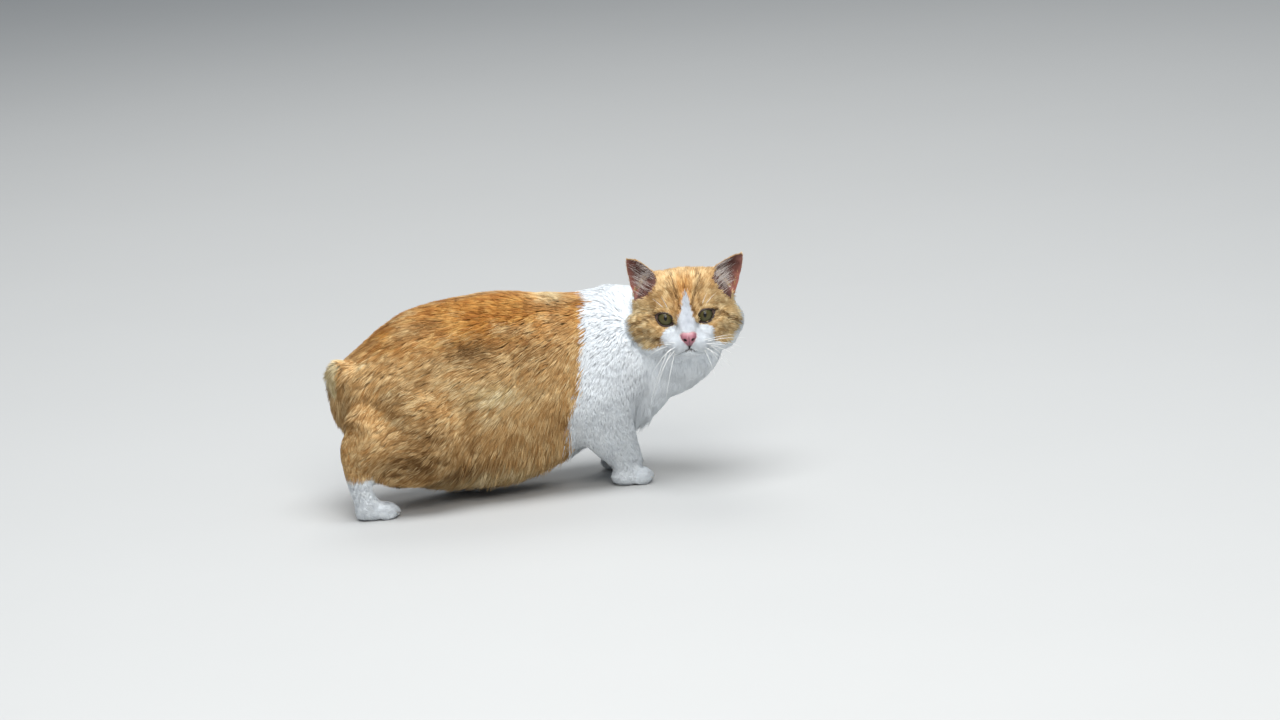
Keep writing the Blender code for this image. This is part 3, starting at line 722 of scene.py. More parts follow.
def headMarks(points):               # the same for the head, in its own frame
    a, b, c = toHead(points).T
    a = a + 0.9 * wobble(points, 11, 7) + 0.7 * wobble(points * (1, 1, 0.4), 3.5, 41)
    c = c + 0.9 * wobble(points, 13, 8)
    flat = np.stack([a, c], axis=1)
    white = np.minimum(a - np.interp(c, whiteHeights, whiteRight),
                       np.interp(c, whiteHeights, whiteLeft) - a)
    white = np.where((c > 27) | (b < -48), -9, white)
    sideways = ease(np.abs(a), 26, 42)
    behind = np.interp(c, (-30, -10, 15, 45), (-24, -38, -58, -72))
    beside = np.interp(c, (-30, -10, 8, 20, 45), (-18, -24, -32, -46, -60))
    nape = b - behind - (beside - behind) * sideways + 3 * wobble(points, 16, 9)
    ginger = (1 - ease(white, -0.8, 0.9)) * ease(nape, -3, 3)
    front = ease(b, -56, -44)
    dark = strokesAt(flat, headStrokes) * front
    pale = strokesAt(flat, paleStrokes) * front
    forehead = bell(a, 9) * (1 - ease(c, 36, 44))
    cheeks = sideways * (1 - ease(c, 14, 26))
    pale = np.maximum(pale, 0.50 - 0.36 * forehead + 0.20 * cheeks)
    pale = np.maximum(pale, 0.95 * (1 - ease(nape, 3, 15)))
    for eye in eyes:
        ring = bell(np.maximum(eye.edge(points) - 0.5, 0), 2.6)
        pale = np.maximum(pale, 0.8 * ring)
        dark = dark * (1 - 0.35 * ring)
    # The white of the blaze and muzzle greyed: partly grey hairs, partly painted shade, the blaze as
    # if shaded by the forehead's slope and the muzzle by bluish sky shade
    greyHairAndShade = 0.56 * bell(a, 9) * ease(c, -16, -4) + 0.27 * ease(c, -34, -26)
    greyHairAndShade += 0.10 * wobble(points * (1, 1, 0.5), 6, 43)
    return ginger, np.where(white > 0, np.maximum(0.8 * dark, greyHairAndShade), dark), pale


def markings(points, owners, normals):
    onHead, onEar = isNode(owners, *headStems), isNode(owners, "ear")
    rim = bell(earFacing(points, normals) - 0.1, 0.22)
    ofEars = (1.0, 0.0, 0.40 + 0.55 * rim)
    return [np.where(onEar, ear, np.where(onHead, head, body))
            for ear, head, body in zip(ofEars, headMarks(points), bodyMarks(points, owners))]


# The lie of the coat: arrows of place and direction, on the body in its own
# distances outwards from the middle, mirrored, and on the head in its frame

bodyLie = (
    (90, 0, 205, -1, 0, -0.05), (30, 0, 205, -1, 0, 0), (-40, 0, 212, -1, 0, 0.02),
    (-100, 0, 208, -1, 0, -0.15), (-160, 0, 186, -0.9, 0, -0.5), (-196, 0, 158, -0.6, 0, -0.8),
    (60, 42, 175, -0.85, 0.2, -0.45), (10, 55, 175, -0.9, 0.2, -0.35),
    (-60, 58, 172, -0.95, 0.15, -0.25), (-130, 52, 160, -0.9, 0.15, -0.4),
    (-185, 38, 135, -0.55, 0.1, -0.85), (40, 62, 130, -0.55, 0, -0.85),
    (-10, 70, 125, -0.75, 0, -0.65), (-70, 76, 120, -0.88, 0, -0.45),
    (-125, 70, 120, -0.9, 0, -0.4), (-170, 58, 105, -0.75, 0, -0.65),
    (18, 62, 80, -0.3, 0, -0.95), (-30, 70, 70, -0.45, 0, -0.9), (-80, 70, 65, -0.65, -0.1, -0.7),
    (10, 45, 45, -0.2, -0.2, -0.95), (-50, 50, 28, -0.35, -0.3, -0.85),
    (-110, 45, 28, -0.6, -0.2, -0.7), (10, 0, 30, -0.8, 0, -0.5), (-60, 0, 12, -0.85, 0, -0.4),
    (-130, 0, 22, -0.9, 0, -0.3), (140, 0, 120, -0.1, 0, -1), (110, 0, 58, -0.5, 0, -0.8),
    (-208, 20, 110, -0.2, 0, -1), (88, 58, 155, -0.5, 0, -0.85), (70, 62, 115, -0.35, 0, -0.95),
    (50, 60, 85, -0.1, 0, -1), (66, 54, 58, 0.3, 0, -0.95), (84, 44, 28, 0.3, 0, -0.95),
    (104, 42, 10, 0.95, 0, -0.25), (82, 42, 12, 0.8, 0, -0.6),
)
rightLegLie = (
    (-110, -58, 80, -0.8, 0, -0.6), (-150, -60, 66, -0.95, 0, -0.3), (-190, -55, 72, -0.8, 0, -0.5),
    (-207, -52, 88, -0.2, 0, -1), (-207, -52, 50, 0, 0, -1), (-200, -52, 22, 0.2, 0, -0.98),
    (-178, -52, 10, 0.95, 0, -0.25),
)
leftLegLie = (
    (-60, 57, 92, -0.5, 0, -0.85), (-95, 55, 74, -0.9, 0, -0.4), (-135, 43, 66, -0.7, 0, -0.6),
    (-118, 38, 42, 0.5, 0, -0.85), (-92, 33, 18, 0.6, 0, -0.8), (-66, 30, 10, 0.95, 0, -0.25),
)
neckLie = (                          # in the body's own x, y and z
    (128, 20, 198, -0.95, 0.3, -0.1), (100, -25, 185, -0.8, 0.2, -0.5),
    (92, -38, 150, -0.5, 0.1, -0.85), (120, -40, 118, -0.3, 0.15, -0.95),
    (160, -45, 105, -0.1, 0.3, -0.95), (195, -25, 135, -0.1, 0.5, -0.85),
    (190, 20, 150, -0.6, 0.6, -0.5), (160, 50, 165, -0.8, 0.5, -0.3),
    (160, 20, 95, -0.3, 0.3, -0.9), (130, -30, 80, -0.3, 0.2, -0.9),
)
headLie = (
    (0, 18, -13, 0, -0.8, 0.6), (0, 4, -2, 0, -0.5, 0.85), (0, 1, 12, 0, -0.3, 0.95),
    (0, -8, 32, 0, -0.6, 0.8), (0, -30, 46, 0, -1, 0.1), (0, -62, 40, 0, -0.9, -0.45),
    (0, -80, 10, 0, -0.4, -0.9), (10, 2, 8, 0.35, -0.4, 0.85), (20, -3, 11, 0.6, -0.45, 0.65),
    (20, -12, 30, 0.45, -0.65, 0.6), (32, -10, 6, 0.95, -0.3, 0.1), (12, 2, -9, 0.7, -0.6, -0.1),
    (22, 0, -13, 0.85, -0.45, -0.25), (36, -12, -8, 0.85, -0.5, -0.15),
    (50, -22, -8, 0.65, -0.7, -0.3), (40, -10, -22, 0.75, -0.5, -0.45),
    (54, -32, -22, 0.4, -0.75, -0.55), (30, -6, -30, 0.6, -0.4, -0.7), (9, 22, -22, 0.9, -0.4, 0.1),
    (16, 14, -26, 0.95, -0.35, -0.15), (12, 16, -33, 0.75, -0.35, -0.5),
    (0, 14, -38, 0, -0.3, -0.95), (14, 4, -38, 0.4, -0.5, -0.75), (0, -12, -42, 0, -0.5, -0.85),
    (45, -36, 25, 0.35, -0.6, 0.7), (58, -45, 10, 0.3, -0.9, -0.3), (52, -50, 45, 0.35, -0.1, 0.95),
    (60, -45, 58, 0.3, -0.1, 0.95), (50, -60, -10, 0.2, -0.9, -0.4), (30, -62, 30, 0.2, -0.95, -0.2),
)


def lieArrows():
    rows = []
    for x, out, z, dx, dOut, dz in bodyLie:
        for side in (1, -1):
            rows.append((x, bodyMid + side * out, z, dx, side * dOut, dz))
    for x, out, z, dx, dOut, dz in rightLegLie + leftLegLie:
        rows.append((x, bodyMid + out, z, dx, dOut, dz))
    rows += neckLie
    for a, b, c, da, db, dc in headLie:
        for side in (1, -1):
            way = np.array((side * da, db, dc)) @ headAxes
            rows.append((*fromHead((side * a, b, c)), *way))
    rows = np.array(rows, float)
    return rows[:, :3], unit(rows[:, 3:])


lieSpots, lieWays = lieArrows()
lieBlend = dict(near=30, power=2.2)  # how sharply the nearest arrow wins


def lieAt(points, normals):
    total = np.zeros_like(points)
    for spot, way in zip(lieSpots, lieWays):
        away = ((points - spot) ** 2).sum(axis=1)
        total += way / (away[:, None] + lieBlend["near"]) ** lieBlend["power"]
    total = unit(total)
    return unit(total - normals * (total * normals).sum(axis=1, keepdims=True))


def bareAt(skin):                    # 1 where nothing grows: eyes, lips, nose, ear cups
    bare = np.maximum(skin.inner, 1 - ease(noseEdge(skin.points), 0.2, 0.9))
    bare = np.maximum(bare, ease(skin.lips, 0.35, 0.75))
    for eye in eyes:
        bare = np.maximum(bare, 1 - ease(eye.edge(skin.points), 0.9, 1.6))
    soles = (skin.points[:, 2] < 1.2) & (skinNormals[:, 2] < -0.6)
    return np.maximum(bare, soles)


skin.inner = earInner(skin.points, skinNormals, skin.owners)
skin.marks = np.stack(markings(skin.points, skin.owners, skinNormals), axis=1)
skin.bare = bareAt(skin)


# Roots spread over the skin, with what the skin says there

skinTriangles = np.concatenate([skin.faces[:, [0, 1, 2]], skin.faces[:, [0, 2, 3]]])


def cornersMean(values, triangles):
    return values[triangles].mean(axis=1)


def scatter(weights, count, dice):   # triangles and the weights of their corners
    total = np.cumsum(weights)
    picks = (np.arange(count) + dice.random(count)) / count * total[-1]
    chosen = np.minimum(np.searchsorted(total, picks), len(weights) - 1)
    one, two = dice.random((2, count))
    flip = one + two > 1
    one[flip], two[flip] = 1 - one[flip], 1 - two[flip]
    return chosen, np.stack([1 - one - two, one, two], axis=1)


class Roots:
    def __init__(self, chosen, shares):
        self.triangles, self.shares = skinTriangles[chosen], shares
        self.points = self.read(skin.points)
        self.normals = unit(self.read(skinNormals))
        self.owners = skin.owners[self.triangles[:, 0]]
        self.fields = self.read(skin.fields)

    def read(self, values):
        return np.einsum("nk,nk...->n...", self.shares, values[self.triangles])


triangleAreas = 0.5 * np.linalg.norm(np.cross(
    skin.points[skinTriangles[:, 1]] - skin.points[skinTriangles[:, 0]],
    skin.points[skinTriangles[:, 2]] - skin.points[skinTriangles[:, 0]]), axis=1)
print("skin area:", round(triangleAreas.sum() / 100), "square cm")

# Tufts: each is a closed spike of three sides with one bend, flat to the skin
tuftShape = dict(sunk=0.9, bend=0.45, rootSize=0.75, flatness=0.32, yaw=6, gather=0.30,
                 hang=1.3, length=(0.75, 1.08), width=(0.75, 1.2), lowering=0.28, stray=0.12,
                 lockYaw=8, lockLength=(0.85, 1.1), lockDepth=(0.90, 1.03), patch=0.003,
                 floor=0.2)
tuftFaces = np.array([(0, 2, 1), (0, 1, 4), (0, 4, 3), (1, 2, 5), (1, 5, 4), (2, 0, 3),
                      (2, 3, 5), (3, 4, 6), (4, 5, 6), (5, 3, 6)])
tuftRing = np.array([(0, 1), (0.5, -0.5), (-0.5, -0.5)])


def turned(ways, normals, angles):
    side = np.cross(normals, ways)
    angles = angles[:, None]
    return ways * np.cos(angles) + side * np.sin(angles)


def tuftPath(points, normals, ways, length, depth):
    flat = np.sqrt(np.maximum(length ** 2 - depth ** 2, 0.3 * length ** 2))
    steps = []
    for t, rise in ((tuftShape["bend"], 0.68), (1.0, 1.0)):
        steps.append(points + ways * (flat * t)[:, None] + normals * (depth * rise)[:, None])
    return steps


def nearestLocks(points, locks):     # each root's lock, and how far off its middle is
    tree = KDTree(len(locks.points))
    for index, point in enumerate(locks.points):
        tree.insert(point, index)
    tree.balance()
    found = [tree.find(point) for point in points]
    return np.array([entry[1] for entry in found]), np.array([entry[2] for entry in found])


def spikes(root, middle, tip, normals, half, thick):
    points = np.empty((len(root), 7, 3))
    along = unit(tip - root)
    across = unit(np.cross(along, normals))
    upward = np.cross(across, along)
    for corner, (side, rise) in enumerate(tuftRing):
        offset = across * side * half + upward * rise * thick
        points[:, corner] = root + offset * tuftShape["rootSize"]
        points[:, corner + 3] = middle + offset
    points[:, 6] = tip
    return points


def growTufts(roots, locks, dice):
    count = len(roots.points)
    depth, length, width, _, spacing, uneven, roots.calm = roots.fields.T
    lock, away = nearestLocks(roots.points, locks)

    lockTurn = np.radians(tuftShape["lockYaw"]) * dice.normal(size=len(locks.points))
    lockLong = dice.uniform(*tuftShape["lockLength"], len(locks.points))
    lockTone = dice.random(len(locks.points))
    lockHang = dice.random(len(locks.points)) ** 2
    lockDepth = locks.fields[:, 0] * dice.uniform(*tuftShape["lockDepth"], len(locks.points))
    lockWays = turned(lieAt(locks.points, locks.normals), locks.normals, lockTurn)
    lockMid, lockTip = tuftPath(locks.points, locks.normals, lockWays,
                                locks.fields[:, 1] * lockLong, lockDepth)

    ways = lieAt(roots.points, roots.normals)
    loose = 0.2 + 0.8 * uneven       # how rough the coat is here, from 0.4 to 1
    yaw = lockTurn[lock] * 0.6 + np.radians(tuftShape["yaw"]) * dice.normal(size=count)
    ways = turned(ways, roots.normals, yaw * loose)
    lower = isNode(roots.owners, "belly", "thigh", "rump", "chest")
    under = ease(-roots.normals[:, 2], 0.25, 0.8) * lower
    hang = bell(roots.normals[:, 2] + 0.45, 0.30) * lower * dice.random(count)
    hang *= 0.25 + 1.2 * lockHang[lock]
    ways = unit(ways + tuftShape["hang"] * hang[:, None] * np.array((0.1, 0, -1.0)))
    length = length * dice.uniform(*tuftShape["length"], count) * (1 + 0.25 * under + 0.45 * hang)
    low = np.clip(1 - 0.22 * (away / spacing) ** 2, 0.6, 1)
    depth = depth * (1 - uneven * dice.uniform(0, tuftShape["lowering"], count))
    depth = depth * (1 - uneven * (1 - low))
    depth = depth * (1 + 0.7 * under * dice.random(count))
    middle, tip = tuftPath(roots.points, roots.normals, ways, length, depth)
    gather = tuftShape["gather"] * dice.uniform(0.6, 1.2, count)[:, None]
    gather *= (0.1 + 0.9 * uneven)[:, None]
    gather = gather * (apart(lockTip[lock], tip) < 1.4 * length)[:, None]
    tip = tip + gather * (lockTip[lock] - tip)
    middle = middle + 0.45 * gather * (lockMid[lock] - middle)
    root = roots.points - roots.normals * tuftShape["sunk"] * np.minimum(1, depth / 2)[:, None]
    half = (width * dice.uniform(*tuftShape["width"], count))[:, None]
    thick = half * (tuftShape["flatness"] * loose)[:, None]
    points = spikes(root, middle, tip, roots.normals, half, thick)
    tone = np.clip(0.55 * lockTone[lock] + 0.45 * dice.random(count), 0, 1)
    stray = dice.normal(0, tuftShape["stray"], (count, 3)) * length[:, None]
    roots.seen = middle + 0.25 * (tip - middle) + stray
    return points, tone


def unwrapped(points, faces):        # the corners' places on a flat unwrap of these faces
    used, renumbered = np.unique(faces, return_inverse=True)
    piece = place("blank", meshFrom("blank", points[used], renumbered.reshape(faces.shape)))
    bpy.context.view_layer.objects.active = piece
    piece.select_set(True)
    bpy.ops.object.mode_set(mode="EDIT")
    bpy.ops.mesh.select_all(action="SELECT")
    bpy.ops.uv.smart_project(angle_limit=math.radians(70), island_margin=0.004)
    bpy.ops.object.mode_set(mode="OBJECT")
    flat = np.empty(len(piece.data.loops) * 2, np.float32)
    piece.data.uv_layers.active.data.foreach_get("uv", flat)
    bpy.data.objects.remove(piece, do_unlink=True)
    return flat.reshape(-1, 3, 2)


def flatPlaces(points, model, wanted):     # each root's place on the unwrap of its own region
    modelPoints, modelFaces, modelOwners = model
    faces = modelFaces[np.isin(modelOwners, wanted)]
    flat = unwrapped(modelPoints, faces)
    tree = BVHTree.FromPolygons(modelPoints.tolist(), faces.tolist())
    places = np.empty((len(points), 2))
    for index, point in enumerate(points):
        spot, _, face, _ = tree.find_nearest(Vector(point))
        a, b, c = modelPoints[faces[face]]     # the corners, and the spot's share of each
        ab, ac, ap = b - a, c - a, np.array(spot) - a
        abab, abac, acac = ab @ ab, ab @ ac, ac @ ac
        apab, apac = ap @ ab, ap @ ac
        scale = max(abab * acac - abac ** 2, 1e-9)
        v, w = (acac * apab - abac * apac) / scale, (abab * apac - abac * apab) / scale
        places[index] = (1 - v - w) * flat[face, 0] + v * flat[face, 1] + w * flat[face, 2]
    return places


def tuftMesh(name, points, tone, marks, places, normals, calm):
    count = len(points)
    faces = (tuftFaces[None] + 7 * np.arange(count)[:, None, None]).reshape(-1, 3)
    corners = points.reshape(-1, 3)
    corners[:, 2] = np.maximum(corners[:, 2], tuftShape["floor"])
    mesh = meshFrom(name, corners, faces)
    along = np.tile(np.array([0, 0, 0, 0.5, 0.5, 0.5, 1]), count)
    paint(mesh, "strand", (along, np.repeat(tone, 7)))
    paint(mesh, "marks", tuple(np.repeat(column, 7) for column in marks.T))
    patch = np.array([(0, -1), (-1, -1), (1, -1), (0, 0), (-1, 0), (1, 0), (0, 1)]) * 0.5
    layer = mesh.uv_layers.new(name="OFBake")
    flat = places[:, None] * (1 - tuftShape["patch"]) + (patch + 0.5) * tuftShape["patch"]
    layer.data.foreach_set("uv", flat.reshape(-1, 2)[faces.ravel()].astype(np.float32).ravel())
    own = np.empty(len(corners) * 3, np.float32)
    mesh.vertex_normals.foreach_get("vector", own)
    calm = np.repeat(calm, 7)[:, None]
    own = own.reshape(-1, 3) * (1 - calm) + np.repeat(normals, 7, 0) * calm
    mesh.normals_split_custom_set_from_vertices(unit(own))
    return mesh


# Shader sums written as sums

class Wire:                          # one socket's value, with the usual signs
    def __init__(self, sheet, socket):
        self.sheet, self.socket = sheet, socket

    def math(self, operation, other):
        return self.sheet.node("ShaderNodeMath", dict(operation=operation), {0: self, 1: other})

    def __add__(self, other):
        return self.math("ADD", other)

    def __sub__(self, other):
        return self.math("SUBTRACT", other)

    def __rsub__(self, other):
        return self.sheet.number(other).math("SUBTRACT", self)

    def __mul__(self, other):
        return self.math("MULTIPLY", other)

    def __truediv__(self, other):
        return self.math("DIVIDE", other)

    def __rtruediv__(self, other):
        return self.sheet.number(other).math("DIVIDE", self)

    def __pow__(self, other):
        return self.math("POWER", other)

    def __rpow__(self, other):
        return self.sheet.number(other).math("POWER", self)

    __radd__, __rmul__ = __add__, __mul__

    def eased(self, low, high):
        return self.sheet.node("ShaderNodeMapRange", dict(interpolation_type="SMOOTHSTEP"),
                               {"Value": self, "From Min": low, "From Max": high})


class Number(Wire):                  # a plain number that stands on the left of a sum
    def __init__(self, sheet, value):
        self.sheet, self.socket = sheet, value


class Sheet:                         # one material and its nodes
    def __init__(self, name):
        self.material = bpy.data.materials.new(name)
        self.material.use_nodes = True
        self.tree = self.material.node_tree
        self.shader = self.tree.nodes["Principled BSDF"]

    def number(self, value):
        return Number(self, value)

    def feed(self, socket, value):
        if isinstance(value, Wire):
            value = value.socket
        if isinstance(value, bpy.types.NodeSocket):
            self.tree.links.new(value, socket)
        elif socket.type == "RGBA" and len(value) == 3:
            socket.default_value = (*value, 1)
        else:
            socket.default_value = value

    def node(self, kind, settings=None, values=None, output=0):
        made = self.tree.nodes.new(kind)
        for key, value in (settings or {}).items():
            if key == "stops":
                ramp = made.color_ramp
                while len(ramp.elements) < len(value):
                    ramp.elements.new(0.5)
                for element, (at, colour) in zip(ramp.elements, value):
                    element.position, element.color = at, (*colour, 1)
            else:
                setattr(made, key, value)
        for key, value in (values or {}).items():
            self.feed(made.inputs[key], value)
        return Wire(self, made.outputs[output])

    def mix(self, one, two, share):
        values = {0: share, 6: one, 7: two}
        return self.node("ShaderNodeMix", dict(data_type="RGBA"), values, output=2)

    def layers(self, colour, *shares):   # each colour laid over the one before
        for over, share in shares:
            colour = self.mix(colour, over, share)
        return colour

    def bump(self, height, strength, distance):
        values = {"Height": height, "Strength": strength, "Distance": distance}
        return self.node("ShaderNodeBump", None, values)

    def ramp(self, value, stops):
        return self.node("ShaderNodeValToRGB", dict(stops=stops), {"Fac": value})

    def columns(self, name):         # the three numbers of a colour attribute
        colour = self.node("ShaderNodeAttribute", dict(attribute_name=name))
        parts = self.node("ShaderNodeSeparateColor", None, {0: colour})
        outputs = parts.socket.node.outputs
        return [Wire(self, outputs[i]) for i in range(3)]

    def place(self):
        return self.node("ShaderNodeTexCoord", output=3)

    def noise(self, scale, detail=2.0, spot=None, rough=0.55):
        values = {"Vector": spot or self.place(), "Scale": scale, "Detail": detail,
                  "Roughness": rough}
        return self.node("ShaderNodeTexNoise", None, values)

    def finish(self, **values):
        for key, value in values.items():
            self.feed(self.shader.inputs[key.replace("_", " ")], value)
        return self.material


# Colours of the coat, in linear light
fur = dict(
    gingerDeep=(0.27, 0.085, 0.011), ginger=(0.50, 0.205, 0.033), gingerLight=(0.72, 0.42, 0.125),
    dark=(0.115, 0.052, 0.012), pale=(0.61, 0.448, 0.205), paleTip=(0.91, 0.76, 0.47),
    # The bluish grey white below is painted shade: the sky-lit shade deep in a white coat
    white=(0.87, 0.90, 0.915), whiteDeep=(0.62, 0.68, 0.74), grey=(0.36, 0.38, 0.42),
)


def coatColour(sheet, along, tone):
    ginger, dark, pale = sheet.columns("marks")
    broad = sheet.noise(38, 2)
    tone = tone * 0.85 + broad * 0.35 - 0.10
    orange = sheet.ramp(tone, ((0.12, fur["gingerDeep"]), (0.5, fur["ginger"]),
                               (0.95, fur["gingerLight"])))
    light = sheet.mix(fur["pale"], fur["paleTip"], tone.eased(0.2, 0.9))
    orange = sheet.mix(orange, light, pale * (0.70 + tone * 0.5))
    orange = sheet.mix(orange, fur["dark"], dark * (1.25 - tone * 0.6))
    # Painted shade: each tuft darker towards its root, standing in for the shadow deep in the coat
    rootShade = 0.62 + along.eased(0.0, 0.7) * 0.38
    orange = sheet.mix(sheet.mix(fur["dark"], orange, 0.45), orange, rootShade)
    # The white goes the same way to a bluish grey: painted shade at the roots, and also each tuft's
    # random tone
    white = sheet.mix(fur["whiteDeep"], fur["white"], tone * 0.45 + 0.30 + along * 0.35)
    white = sheet.mix(white, fur["grey"], dark)
    return sheet.mix(white, orange, ginger)


def coatMaterial():
    sheet = Sheet("coat")
    along, tone, _ = sheet.columns("strand")
    return sheet.finish(Base_Color=coatColour(sheet, along, tone), Roughness=0.66,
                        Specular_IOR_Level=0.2, Sheen_Weight=0.06, Sheen_Roughness=0.4)


def skinMaterial():
    sheet = Sheet("skin")
    ear, dark, pink = sheet.columns("bare")
    streak = sheet.noise(520, 2)
    under = coatColour(sheet, sheet.number(0.6), sheet.noise(300, 3))
    # Inside the ears: dark mottled skin, its darkness partly painted shade deep in the cup; towards
    # the outer edges a brighter pink, a painted glow of light through the thin skin, carried by the
    # cup attribute
    cup = sheet.columns("cup")[0]
    mottle = sheet.noise(130, 5).eased(0.3, 0.7)
    earSkinShadeAndGlow = sheet.mix((0.062, 0.026, 0.021), (0.17, 0.078, 0.062), mottle)
    earSkinShadeAndGlow = sheet.mix(earSkinShadeAndGlow, sheet.mix((0.26, 0.085, 0.065), (0.42, 0.16, 0.12), mottle), cup)
    colour = sheet.layers(under, (earSkinShadeAndGlow, ear), ((0.50, 0.26, 0.23), pink),
                          ((0.035, 0.017, 0.013), dark))
    return sheet.finish(Base_Color=colour, Roughness=0.7 - dark * 0.35,
                        Normal=sheet.bump(streak, 0.35, 0.0006), Specular_IOR_Level=0.3)


materials = dict(coat=coatMaterial(), skin=skinMaterial())


def finished(name, mesh, look):      # a mesh as a piece, smooth and in its material
    mesh.materials.append(materials[look])
    mesh.shade_smooth()
    return place(name, mesh)


# The skin's own mesh, thinned on the body and left fine on the head
earOuterEdges = (((55, -39, 14), (62, -41, 36), (66, -42, 54)),
                 ((-50, -39, 18), (-53, -41, 40), (-55, -42, 60)))


def earGlow(points):                 # light through the thin skin by each ear's outer edge
    local = toHead(points)
    away = np.minimum(*(toLine(local, np.array(edge, float)) for edge in earOuterEdges))
    return bell(away, 9) * (1 - 0.75 * ease(local[:, 2], 26, 48))


def makeSkinPiece():
    mesh = meshFrom("skin", skin.points, skin.faces)
    paint(mesh, "marks", tuple(skin.marks.T))
    # Dark skin: the lip line, partly painted shade of the mouth, and the eye rims
    dark = skin.lips.copy()
    for eye in eyes:
        edge = eye.edge(skin.points)
        dark = np.maximum(dark, 1 - ease(edge, 0.8, 1.8))
    pink = 0.6 * (1 - ease(noseEdge(skin.points), 0.3, 2.0))
    paint(mesh, "bare", (skin.inner, dark, pink))
    # The cup attribute carries the painted glow of light through the ears' thin skin
    paint(mesh, "cup", (earGlow(skin.points), np.zeros(len(skin.points))))
    loose = np.where(skin.fine > 0.5, 0.0, 1.0)
    mesh = thinned(mesh, skinShape["triangles"], loose)
    return finished("skin", mesh, "skin")


skinPiece = makeSkinPiece()
print("skin piece:", len(skinPiece.data.polygons), "triangles")

# The coat in pieces, each over one region
coatRegions = {
    "Head": ("head", "eye", "nose", "ear"), "Neck": ("neck",), "Chest": ("chest",),
    "Belly": ("belly",), "Rump": ("rump", "tail_stump"),
    "Forelegs": ("upper_arm", "forearm", "front_paw"),
    "Hindlegs": ("thigh", "shank", "hind_foot", "hind_paw"),
}
# Most tufts to a mesh, and triangles of the plain skin that their UV places come from
coatLimits = dict(perPiece=19500, model=14000)


def makeCoat():
    model = thinned(meshFrom("model", skin.points, skin.faces), coatLimits["model"])
    modelPoints, modelFaces = pointsOf(model), facesOf(model, 3)
    modelOwners = nodesAt(modelPoints[modelFaces].mean(axis=1))
    model = (modelPoints, modelFaces, modelOwners)
    density = cornersMean(skin.fields[:, 3] * (1 - skin.bare), skinTriangles)
    weights = density * triangleAreas
    lockWeights = triangleAreas / cornersMean(skin.fields[:, 4], skinTriangles) ** 2
    triangleOwners = skin.owners[skinTriangles[:, 0]]
    pieces = []
    for number, (region, wantedStems) in enumerate(coatRegions.items()):
        dice = np.random.default_rng(100 + number)
        wanted = [i for i, stem in enumerate(stems) if stem in wantedStems]
        own = np.isin(triangleOwners, wanted)
        roots = Roots(*scatter(weights * own, round((weights * own).sum()), dice))
        locks = Roots(*scatter(lockWeights * own, round((lockWeights * own).sum()), dice))
        points, tone = growTufts(roots, locks, dice)
        marks = np.stack(markings(roots.seen, roots.owners, roots.normals), axis=1)
        places = flatPlaces(roots.points, model, wanted)
        share = math.ceil(len(points) / coatLimits["perPiece"])
        for part in range(share):
            name = f"coat{region}{part + 1}" if share > 1 else f"coat{region}"
            mine = slice(part, None, share)
            mesh = tuftMesh(name, points[mine], tone[mine], marks[mine], places[mine],
                            roots.normals[mine], roots.calm[mine])
            mesh.materials.append(materials["coat"])
            pieces.append(place(name, mesh))
        print("  coat", region, len(points), "tufts,", len(locks.points), "locks")
    return pieces


coatPieces = makeCoat()
print("coat:", sum(len(piece.data.polygons) for piece in coatPieces), "triangles")

def ringFaces(index, closed=False):  # triangles between each row of points and the next
    after = np.roll(index, -1, axis=1)
    squares = np.stack([index, np.roll(index, -1, axis=0), np.roll(after, -1, axis=0), after],
                       axis=2)
    squares = (squares if closed else squares[:-1]).reshape(-1, 4)
    return np.concatenate([squares[:, [0, 1, 2]], squares[:, [0, 2, 3]]])


def fan(pole, row):                  # triangles from one point out to a ring
    return np.stack([np.full(len(row), pole), row, np.roll(row, -1)], axis=1)


# The eyes: balls with a clear bulge, and the look of iris and pupil from the
# distances sideways and up that each point keeps
eyeFinish = dict(pupilWide=1.6, pupilTall=3.0, iris=7.6, rings=44, steps=56)


def makeEye(eye):
    rings, steps = eyeFinish["rings"], eyeFinish["steps"]
    angles = np.linspace(0, math.pi, rings + 1)[1:-1]
    near = np.clip(1 - (np.degrees(angles) / eyeShape["bulgeAngle"]) ** 2, 0, 1)
    radius = eyeShape["radius"] + eyeShape["bulge"] * near ** 1.6
    around = np.arange(steps) / steps * 2 * math.pi
    ring = np.stack([np.outer(np.sin(angles) * radius, np.cos(around)),
                     np.repeat((np.cos(angles) * radius)[:, None], steps, 1),
                     np.outer(np.sin(angles) * radius, np.sin(around))], axis=2).reshape(-1, 3)
    front = eyeShape["radius"] + eyeShape["bulge"]
    local = np.concatenate([ring, [(0, front, 0), (0, -eyeShape["radius"], 0)]])
    index = np.arange(len(ring)).reshape(-1, steps)
    faces = np.concatenate([ringFaces(index), fan(len(ring), index[0]),
                            fan(len(ring) + 1, index[-1])[:, [0, 2, 1]]])
    mesh = meshFrom(eye.name + "Ball", local @ eye.axes + eye.centre, faces)
    paint(mesh, "gaze", (local[:, 0], local[:, 2]))
    return finished(eye.name + "Ball", mesh, "eye")


